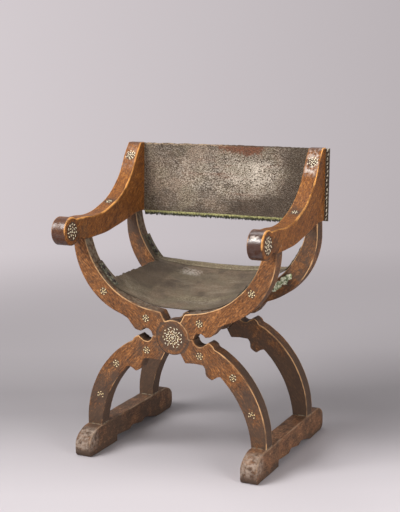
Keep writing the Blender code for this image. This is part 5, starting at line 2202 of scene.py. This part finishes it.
@dataclass(frozen=True)
class Nails:
    """Hammered nails with domed heads, and how unevenly they were driven."""

    count: int
    radius: float
    height: float
    sides: int
    turn_jitter: float
    place_jitter: float
    size_jitter: float = 0.06
    crown_steps: int = 7
    sunk: float = 0.0008

    def head(self) -> Mesh:
        """Make one head with a thin rim.

        Returns:
            The mesh, facing up.
        """
        turns = (QUARTER_TURN * i / self.crown_steps for i in range(self.crown_steps))
        crown = [(self.radius * 0.9 * math.cos(turn), self.height * (0.16 + 0.84 * math.sin(turn)))
                 for turn in turns]
        rim = [(self.radius, -self.sunk), (self.radius, self.height * 0.1)]
        return lathe([(0, -self.sunk), *rim, *crown, (0, self.height)], self.sides)

    def band(self, name: str, body: str, braid: Mesh, place: Callable[[float], tuple[Vector, Euler]],
             seed: int) -> None:
        """Build a braid band that the nails hold.

        Args:
            name: The band's node.
            body: The body that carries it.
            braid: The braid's mesh.
            place: Gives point and turn of the nail at a share of the band's length.
            seed: Seed of the nails' unevenness.
        """
        new_piece(name + "_braid", braid, Finishes.braid, body, [name])
        places = [place((i + 0.5) / self.count) for i in range(self.count)]
        mesh = set_pieces(places, self.head(), Finishes.iron, seed, self.size_jitter, self.turn_jitter,
                          self.place_jitter)
        new_piece(name + "_nails", mesh, Finishes.iron, body, crisp_degrees=50)


@dataclass
class SeatBand:
    """A braid band with big domed nails that holds one end of the seat."""

    end: End
    side: Side
    width: float = 0.02
    setback: float = 0.007
    thickness: float = 0.002
    columns: int = 96
    rows: int = 20
    nails: Nails = Nails(3, 0.0075, 0.0042, 20, 0.08, 0.0006)
    reach: dict[End, Point] = field(
        default_factory=lambda: {End.FRONT: (39.5, 58.0), End.REAR: (50.0, 66.5)})

    def on_bow(self, share: float, y: float, lift: float) -> Vector:
        """Find a point on the bow's inner curve over the leather.

        Args:
            share: Share of the band's length, from its lower end.
            y: Its y.
            lift: Its height over the leather.

        Returns:
            The point.
        """
        s = SIZES
        start, end = self.reach[self.end]
        angle = math.radians(start + (end - start) * share)
        radius = s.bow_inner_radius - 4 * s.fit_gap - s.leather_thickness - lift
        return Vector((self.side.value * (s.bow_centre_x + radius * math.sin(angle)), y,
                       s.pivot_height + s.bow_inner_centre_height - radius * math.cos(angle)))

    def build(self) -> None:
        """Build the band with its cords and nails."""
        name = f"{self.side.label}_{self.end.label}_seat_band"
        middle, sign = SIZES.frame_y(self.end) + self.setback, self.side.value

        def along(u: float) -> float:
            """Return the share of the band's length from its lower end."""
            return u if sign > 0 else 1 - u

        def place(u: float, v: float) -> Vector:
            """Return a point of the band's underside."""
            fray = 0.0012 * wave(along(u) * 30, sign * 4, 8) * (abs(v - 0.5) * 2) ** 4
            return self.on_bow(along(u), middle + (v - 0.5) * (self.width + fray), 0)

        def thickness(u: float, v: float) -> float:
            """Return the braid's thickness."""
            return braided(v, u * 26, 0.43, 0.06, self.thickness)

        def nail(share: float) -> tuple[Vector, Euler]:
            """Return a nail's point and turn."""
            here, inner = (self.on_bow(share, middle, lift) for lift in (self.thickness * 0.8, 0.01))
            return here, (inner - here).to_track_quat("Z", "Y").to_euler()

        braid = Sheet(name, self.columns, self.rows, place, thickness).build()
        self.nails.band(name, self.side.arm_body, braid, nail, 11 + self.end.value)


@dataclass
class BackPanel:
    """The leather back behind the posts, its nailed bands, its edge stitches and its fringe."""

    columns: int = 240
    rows: int = 84
    band_width: float = 0.03
    band_thickness: float = 0.002
    band_columns: int = 24
    band_rows: int = 200
    nails: Nails = Nails(12, 0.005, 0.003, 16, 0.06, 0.0005)
    stitch_count: int = 17
    stitch_inset: float = 0.0062
    stitch_lean: float = 0.3
    strand_length: float = 0.012
    strand_radius: float = 0.0016
    strand_spacing: float = 0.0027
    strand_rows: Triple = (-0.0012, 0.0004, 0.0022)
    fringe_inset: float = 0.0015
    ply_radius: float = 0.0011
    ply_twist: float = 0.0065
    cord_steps: int = 60
    flat: tuple[float, float] = (0.69, 0.222)
    area: float = 0.1525

    @property
    def half_span(self) -> float:
        """Return the panel's half span, past the arms."""
        return SIZES.arm_outer_half_span + SIZES.back_overhang

    def free(self, x: float) -> float:
        """Return how free the leather is of the posts at a distance from the middle."""
        return max(1 - (x / SIZES.arm_inner_half_span) ** 2, 0)

    @staticmethod
    def behind(x: float, up: float, away: float) -> Vector:
        """Find a point behind the posts' raked rear faces.

        Args:
            x: Its x.
            up: Share of the panel's height, from its lower edge.
            away: Its distance from the faces' plane.

        Returns:
            The point.
        """
        s = SIZES
        foot = s.rear_shoulder_height
        height = s.back_bottom_height + s.back_height * up
        rake = s.post_rear_rake * (height - foot) / (s.scroll_height + s.post_height - foot)
        return Vector((x, s.post_foot_y + rake + away, s.pivot_height + height))

    def point(self, across: float, up: float) -> Vector:
        """Lay out the front surface.

        Args:
            across: Share of the width, from the left.
            up: Share of the height.

        Returns:
            The point in the chair's frame.
        """
        x = (2 * across - 1) * self.half_span
        free = self.free(x)
        worn = 0.0016 * wave(across * 22, 1, 2) + 0.0012 * wave(across * 70, 3, 2) - 0.0014
        swell = 0.0022 * wave(across * 5, up * 2.2, 7) + 0.001 * wave(across * 14, up * 9, 8)
        hollow = SIZES.back_bow + 0.0035 * (1 - (2 * up - 1) ** 2) + swell
        point = self.behind(x, up, SIZES.fit_gap + free * hollow)
        point.z += worn * eased(up, 0.93, 1)
        return point

    def thickness(self, across: float, up: float) -> float:
        """Return the leather's uneven thickness."""
        return SIZES.leather_thickness - 0.0004 + 0.0002 * wave(across * 80, up * 40, 3)

    def marks(self, across: float, up: float) -> dict[str, float]:
        """Tell how worn the leather is, and where glints and a shadow are painted on it.

        Args:
            across: Share of the width.
            up: Share of the height.

        Returns:
            How glossy, dark, rubbed and red the point is, and how red its creases are; gloss holds painted
            glints, and the dark mark a painted shadow.
        """
        x = (2 * across - 1) * self.half_span
        z = SIZES.pivot_height + SIZES.back_bottom_height + SIZES.back_height * up
        outer = SIZES.arm_outer_half_span
        # Painted glints and real gloss: a glossy area right of the middle, which brings out pale specks
        # and lowers the roughness.
        core = eased(math.hypot((x - 0.105) / 1.1, (z - 0.815) / 0.8), 0.12, 0.02)
        broad = eased(math.hypot(x / 2, (z - 0.81) / 0.75), 0.13, 0.05)
        shine = (0.42 * core + 0.44 * broad) * (0.75 + 0.5 * wave(across * 16, up * 9, 4))
        # Painted shadow: a dark strip by the left post.
        left = eased(x - 0.02 * wave(up * 3, 1), -0.276, -0.296)
        right = eased(x + 0.04 * wave(up * 4, 2), 0.16, 0.22)
        low = eased(z - 0.18 * (x - 0.05), 0.76, 0.72) * eased(x, -0.06, 0.06)
        top = eased(up, 0.982, 0.992) * (0.3 + 0.65 * eased(across, 0.45, 0.55))
        strip = eased(abs(x), outer - 0.001, outer + 0.001)
        reach = 0.048 + 0.016 * wave(x * 40, z * 40, 1.5) + 0.0176 * wave(x * 190, z * 190, 1.5)
        patch = eased(math.hypot((x - 0.055) / 1.35, (z - 0.912) / 0.62), reach + 0.02, reach)
        trace = eased(math.hypot((x - 0.075) / 1.2, (z - 0.712) / 0.5), 0.04, 0.01)
        rubbed = eased(up + 0.01 * wave(across * 30, 0, 1), 0.965, 0.985) * eased(across, 0.58, 0.43)
        return {"shine": min(max(shine, 0), 1), "red": max(0.95 * patch, 0.35 * trace), "rubbed": rubbed,
                "dark": max(0.28 * left, 0.78 * right, 0.84 * low, 0.45 * eased(z, 0.712, 0.7), top,
                            0.9 * strip),
                "streaked": 0.65 * eased(math.hypot((x - 0.02) / 2, z - 0.8), 0.12, 0.06)}

    def build(self) -> None:
        """Build the panel and what is sewn and nailed to it."""
        mesh = Sheet("back", self.columns, self.rows, self.point, self.thickness, -1, 0.25,
                     self.marks).build()
        panel = new_piece("back_leather_panel", mesh, Finishes.back,
                          nodes=["back_leather"])
        fringe = self.fringe()
        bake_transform(panel)
        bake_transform(fringe)
        for side in Side:
            self.band(side)
            self.edge_stitches(side)

    def fringe(self) -> Object:
        """Build the green fringe: three rows of strands under a twisted cord.

        Returns:
            The piece.
        """
        s = SIZES
        reach = s.arm_inner_half_span - self.fringe_inset

        def hang(x: float, forward: float, drop: float) -> Vector:
            """Return a point by the panel's lower edge."""
            point = self.behind(x, 0, s.fit_gap + s.back_bow * self.free(x) + forward)
            return point - Vector((0, 0, drop))

        places = []
        count = int(2 * reach / self.strand_spacing)
        for row, forward in enumerate(self.strand_rows):
            for i in range(count):
                x = -reach + 2 * reach * (i + (row % 2) / 2 + 0.25) / count
                drop = 0.0016 * wave(x * 230, row, 4) - 0.0004
                places.append((hang(x, forward, drop), Euler((0, 0, 0))))
        r, length = self.strand_radius, self.strand_length
        shares = ((0, 1), (0.55, 0.96), (0.95, 0.7), (0.8, 0.45), (1, 0.2), (0.7, 0))
        profile = [*((r * a, -length * b) for a, b in shares), (0, 0.0004)]
        strands = set_pieces(places, lathe(profile, 6), Finishes.fringe, seed=31, size_jitter=0.25,
                             turn_jitter=0.22, place_jitter=0.0005)
        steps = self.cord_steps
        line = [hang(-reach + 2 * reach * i / steps, -0.001, 0.0006) for i in range(steps + 1)]
        cord = twisted(line, self.ply_radius, self.ply_twist, Finishes.fringe)
        mesh = joined([(part, Matrix()) for part in (strands, cord)])
        store(mesh, "drop", [s.pivot_height + s.back_bottom_height - vert.co.z
                             for vert in mesh.vertices])
        return new_piece("back_fringe_strands", mesh, Finishes.fringe,
                         nodes=["back_fringe"])

    def band(self, side: Side) -> None:
        """Build the nailed band behind one post.

        Args:
            side: The post's side.
        """
        s = SIZES
        name = f"{side.label}_back_band"
        centre_x = side.value * (s.arm_inner_half_span + s.arm_width / 2)
        lift = 2 * s.fit_gap + s.leather_thickness
        rake = math.atan2(s.post_rear_rake, s.scroll_height + s.post_height - s.rear_shoulder_height)

        def place(u: float, v: float) -> Vector:
            """Return a point of the band's front."""
            return self.behind(centre_x - (u - 0.5) * self.band_width, v, lift)

        def thickness(u: float, v: float) -> float:
            """Return the braid's thickness."""
            return braided(u, v * 54, 0.44, 0.05, self.band_thickness)

        def nail(share: float) -> tuple[Vector, Euler]:
            """Return a nail's point and turn."""
            return (self.behind(centre_x, share, lift + self.band_thickness * 0.8),
                    Euler((-QUARTER_TURN - rake, 0, 0)))

        braid = Sheet(name, self.band_columns, self.band_rows, place, thickness).build()
        self.nails.band(name, side.arm_body, braid, nail, 17)

    def edge_stitches(self, side: Side) -> None:
        """Build the cream stitches that whip one end of the panel.

        Args:
            side: The end's side.
        """
        x = side.value * (self.half_span - self.stitch_inset)
        turn = Euler((0, side.value * self.stitch_lean, 0))
        places = [(self.behind(x, (i + 0.5) / self.stitch_count, -0.0002), turn)
                  for i in range(self.stitch_count)]
        profile = [(0, -0.0058), (0.001, -0.005), (0.0017, -0.002), (0.0017, 0.002), (0.001, 0.005),
                   (0, 0.0058)]
        mesh = set_pieces(places, lathe(profile, 8), Finishes.edge_thread, seed=23, size_jitter=0.35,
                          turn_jitter=0.28, place_jitter=0.0012)
        new_piece(f"{side.label}_back_edge_stitches", mesh, Finishes.edge_thread,
                  side.arm_body)


@dataclass
class Pegs:
    """The wooden pegs that cross the tenons, their ends standing a little proud."""

    radius: float = 0.004
    proud: float = 0.0006

    def build(self) -> None:
        """Build every peg."""
        for side in Side:
            for piece, body in (("arm", side.arm_body), ("runner", side.runner_body)):
                for end in End:
                    self.peg(f"{side.label}_{piece}_{end.label}_peg", side, body)

    def peg(self, node: str, side: Side, body: str) -> None:
        """Build one peg where the frame has it.

        Args:
            node: Its node.
            side: The side of the chair that it is on.
            body: The body that carries it.
        """
        low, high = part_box(node)
        half, radius = (high.x - low.x) / 2, self.radius
        end = [(radius * a, half + self.proud * b) for a, b in ((0.85, 0.6), (0.4, 1), (0, 1.1))]
        profile = [(0, -half), (radius, -half), (radius, half - 0.0002), *end]
        turn = Matrix.Rotation(QUARTER_TURN * side.value, 4, "Y")
        place = Matrix.Translation((low + high) / 2) @ turn
        new_piece(node + "_end", lathe(profile, 14, place), Finishes.pegs, body, [node],
                  crisp_degrees=50)


@dataclass
class ClothRemnant:
    """A torn scrap of green cloth that clings to the front of the rear right bow."""

    start_degrees: float = 28.5
    end_degrees: float = 48.0
    low_inset: float = 0.006
    high_inset: float = 0.032
    thickness: float = 0.0016
    columns: int = 90
    rows: int = 30

    def place(self, u: float, v: float) -> Vector:
        """Lay out the scrap's back, next to the wood.

        Args:
            u: Share of its length.
            v: Share of its width, from the bow's inner edge.

        Returns:
            The point in the chair's frame.
        """
        s = SIZES
        half = (self.high_inset - self.low_inset) / 2 * (0.22 + 0.78 * eased(min(u, 1 - u), 0, 0.16))
        half *= 0.78 + 0.45 * wave(u * 7, 1 if v > 0.5 else 4, 2) + 0.25 * wave(u * 24, v > 0.5, 6)
        middle = (self.high_inset + self.low_inset) / 2 + 0.004 * wave(u * 4, 0, 3)
        radius = s.bow_inner_radius + middle + (2 * v - 1) * half
        angle = math.radians(self.start_degrees + (self.end_degrees - self.start_degrees) * u)
        lift = 0.0002 + 0.0012 * max(0, wave(u * 12, v * 5, 5)) * math.sin(math.pi * v)
        return Vector((s.bow_centre_x + radius * math.sin(angle),
                       s.frame_y(End.REAR) - s.member_thickness / 2 - lift,
                       s.pivot_height + s.bow_inner_centre_height - radius * math.cos(angle)))

    def thick(self, u: float, v: float) -> float:
        """Return the scrap's thickness, crumpled in the middle and thin at its edges."""
        edge = eased(min(v, 1 - v), 0, 0.2) * eased(min(u, 1 - u), 0, 0.05)
        return 0.0003 + self.thickness * edge * (0.9 + 1.3 * abs(wave(u * 22, v * 8, 9)))

    def build(self) -> None:
        """Build the scrap."""
        mesh = Sheet("remnant", self.columns, self.rows, self.place, self.thick).build()
        new_piece("rear_bow_cloth_remnant", mesh, Finishes.remnant, RIGHT)


@dataclass(frozen=True)
class Lamp:
    """A soft square lamp that looks at a point."""

    name: str
    place: Triple
    aim_height: float
    size: float
    power: float

    def build(self) -> None:
        """Build the lamp."""
        data = bpy.data.lights.new(self.name, "AREA")
        data.size = self.size
        data.energy = self.power
        ob = new_object(self.name, data)
        ob.location = self.place
        ob.rotation_mode = "QUATERNION"
        way = Vector((0, 0, self.aim_height)) - Vector(self.place)
        ob.rotation_quaternion = way.to_track_quat("-Z", "Y")


@dataclass
class Studio:
    """A pale floor with painted shade and a painted falloff of light, soft light and the camera at the
    photograph's angle.
    """

    azimuth: float = 0.4549
    elevation: float = 0.1895
    distance: float = 3.4911
    focal_pixels: float = 1161.57
    image_height: int = 512
    aim_x: float = 0.0105
    aim_z: float = 0.5835
    roll: float = 0.0133
    frame_shift: Triple = (0.0, -0.009, 0.01)
    sensor_height: float = 36.0
    floor_half: float = 60.0
    floor_colour: Colour = (0.67, 0.622, 0.643)
    backdrop: Colour = (0.575, 0.527, 0.547)
    fill: Colour = (1.0, 0.985, 0.99)
    fill_strength: float = 0.225
    shades: tuple[Point, ...] = (
        (0.0, 1.0), (0.085, 1.0), (0.15, 0.98), (0.19, 0.9), (0.222, 0.79), (0.237, 0.68), (0.252, 0.57),
        (0.267, 0.58), (0.28, 0.68), (0.298, 0.85), (0.314, 0.94), (0.33, 1.0))
    shade_scale: float = 2.5
    far_start: float = 0.9
    far_end: float = 3.6
    # Tilts paint a falloff of light from side to side over the floor and the backdrop.
    far_tilt: float = 0.8
    near_tilt: float = 0.55
    widest: float = 0.22
    lamps: tuple[Lamp, ...] = (Lamp("key_light", (-1.75, -2.35, 2.55), 0.45, 2.0, 141.0),
                               Lamp("side_light", (2.7, -1.5, 0.95), 0.45, 1.3, 44.0),
                               Lamp("top_light", (-0.35, 0.35, 3.0), 0.4, 1.3, 19.0))

    def build(self) -> None:
        """Build the floor, the light and the camera."""
        scene = bpy.context.scene
        scene.view_settings.view_transform = "Standard"
        self.right = Vector((math.cos(self.azimuth), math.sin(self.azimuth), 0))
        self.ahead = Vector((-math.sin(self.azimuth), math.cos(self.azimuth), 0))
        self.floor()
        self.world(scene)
        for lamp in self.lamps:
            lamp.build()
        self.camera(scene)

    def camera(self, scene: bpy.types.Scene) -> None:
        """Build the camera.

        Args:
            scene: The scene that it belongs to.
        """
        back = Vector((0, 0, math.sin(self.elevation))) - self.ahead * math.cos(self.elevation)
        up = back.cross(self.right)
        place = Vector((0, 0, self.aim_z)) + self.right * self.aim_x + back * self.distance
        place += Vector(self.frame_shift)
        turned_right = self.right * math.cos(self.roll) - up * math.sin(self.roll)
        turned_up = up * math.cos(self.roll) + self.right * math.sin(self.roll)
        data = bpy.data.cameras.new("camera")
        data.sensor_fit = "VERTICAL"
        data.sensor_height = self.sensor_height
        data.lens = self.sensor_height * self.focal_pixels / self.image_height
        axes = Matrix((turned_right, turned_up, back)).transposed()
        ob = new_object("camera", data)
        ob.matrix_world = Matrix.Translation(place) @ axes.to_4x4()
        scene.camera = ob

    @staticmethod
    def seen(sheet: NodeSheet) -> Value:
        """Tell the rays that show the background: camera, glossy and transmission.

        Args:
            sheet: The sheet that the nodes go on.

        Returns:
            1 for these rays.
        """
        path = sheet.outputs(sheet.add("ShaderNodeLightPath"))
        both = sheet.maths("ADD", path["Is Camera Ray"], path["Is Glossy Ray"], clamp=True)
        return sheet.maths("ADD", both, path["Is Transmission Ray"], clamp=True)

    def leaning(self, sheet: NodeSheet, sideways: Value, tilt: object) -> Value:
        """Return a painted falloff of light: a tone that changes from left to right, up to a limit on both
        sides.
        """
        held = sheet.maths("MINIMUM", sheet.maths("MAXIMUM", sideways, -self.widest), self.widest)
        return held * tilt + 1.0

    def world(self, scene: bpy.types.Scene) -> None:
        """Build the world: an even light, and the backdrop's colour where it is seen, with a painted
        falloff of light from left to right.

        Args:
            scene: The scene that it belongs to.
        """
        world = bpy.data.worlds.new("studio")
        sheet = blank_sheet(world)
        light = sheet.out("ShaderNodeBackground", {"Color": self.fill, "Strength": self.fill_strength})
        way = sheet.out("ShaderNodeTexCoord", None, "Generated")
        ahead = sheet.maths("MAXIMUM", sheet.vector("DOT_PRODUCT", way, self.ahead, "Value"), 0.3)
        aside = sheet.vector("DOT_PRODUCT", way, self.right, "Value")
        # Painted falloff: the backdrop is lighter on the left and darker on the right.
        tone = self.leaning(sheet, aside / ahead, -self.far_tilt)
        backdrop = sheet.mix(1.0, self.backdrop, tone, "MULTIPLY")
        shown = sheet.out("ShaderNodeBackground", {"Color": backdrop, "Strength": 1.0})
        both = sheet.out("ShaderNodeMixShader", {0: self.seen(sheet), 1: light, 2: shown})
        sheet.add("ShaderNodeOutputWorld", {0: both})
        scene.world = world

    def floor(self) -> None:
        """Build the floor, lit near the chair and the backdrop's colour far from it, with painted shade
        behind the chair and a painted falloff of light across it.
        """
        half = self.floor_half
        mesh = bpy.data.meshes.new("floor")
        mesh.from_pydata([(-half, -half, 0), (half, -half, 0), (half, half, 0), (-half, half, 0)], [],
                         [(0, 1, 2, 3)])
        material = bpy.data.materials.new("floor_paper")
        sheet = blank_sheet(material)
        own = sheet.own()
        far = sheet.ease(sheet.vector("LENGTH", own, (0, 0, 0), "Value"), self.far_start, self.far_end)
        depth = sheet.vector("DOT_PRODUCT", own, self.ahead, "Value")
        reach = sheet.maths("MAXIMUM", depth + self.distance * math.cos(self.elevation), 1.0)
        nearness = sheet.maths("DIVIDE", 1.0, reach)
        # Painted shade: the floor darkens in a band under and behind the chair.
        shade = sheet.ramp(nearness * self.shade_scale,
                           [(place * self.shade_scale, (tone, tone, tone)) for place, tone in self.shades])
        aside = sheet.vector("DOT_PRODUCT", own, self.right, "Value")
        # Painted falloff of light: near the chair the floor is lighter on the right, far from it lighter
        # on the left.
        tilt = sheet.ease(far, 0, 1, self.near_tilt, -self.far_tilt)
        tone = self.leaning(sheet, aside * nearness, tilt)
        shade = sheet.mix(1.0, shade, tone, "MULTIPLY")
        near, beyond = (sheet.mix(1.0, colour, shade, "MULTIPLY")
                        for colour in (self.floor_colour, self.backdrop))
        paper = sheet.out("ShaderNodeBsdfDiffuse", {"Color": near})
        # Far off, the floor glows in the backdrop's colour, with its painted shade and falloff.
        glow = sheet.out("ShaderNodeEmission", {"Color": beyond, "Strength": 1.0})
        both = sheet.out("ShaderNodeMixShader", {0: far * self.seen(sheet), 1: paper, 2: glow})
        sheet.add("ShaderNodeOutputMaterial", {0: both})
        mesh.materials.append(material)
        new_object("floor", mesh)


def main() -> None:
    """Build the chair's pieces in order, then the studio."""
    logging.basicConfig(level=logging.INFO, format="%(name)s: %(message)s")
    for end in End:
        Cross(end).build()
    for side in Side:
        Arm(side).build()
        Runner(side).build()
        for end in End:
            SeatBand(end, side).build()
    Pegs().build()
    Inlay().build()
    SeatSling().build()
    BackPanel().build()
    ClothRemnant().build()
    Studio().build()


if __name__ == "__main__":
    main()
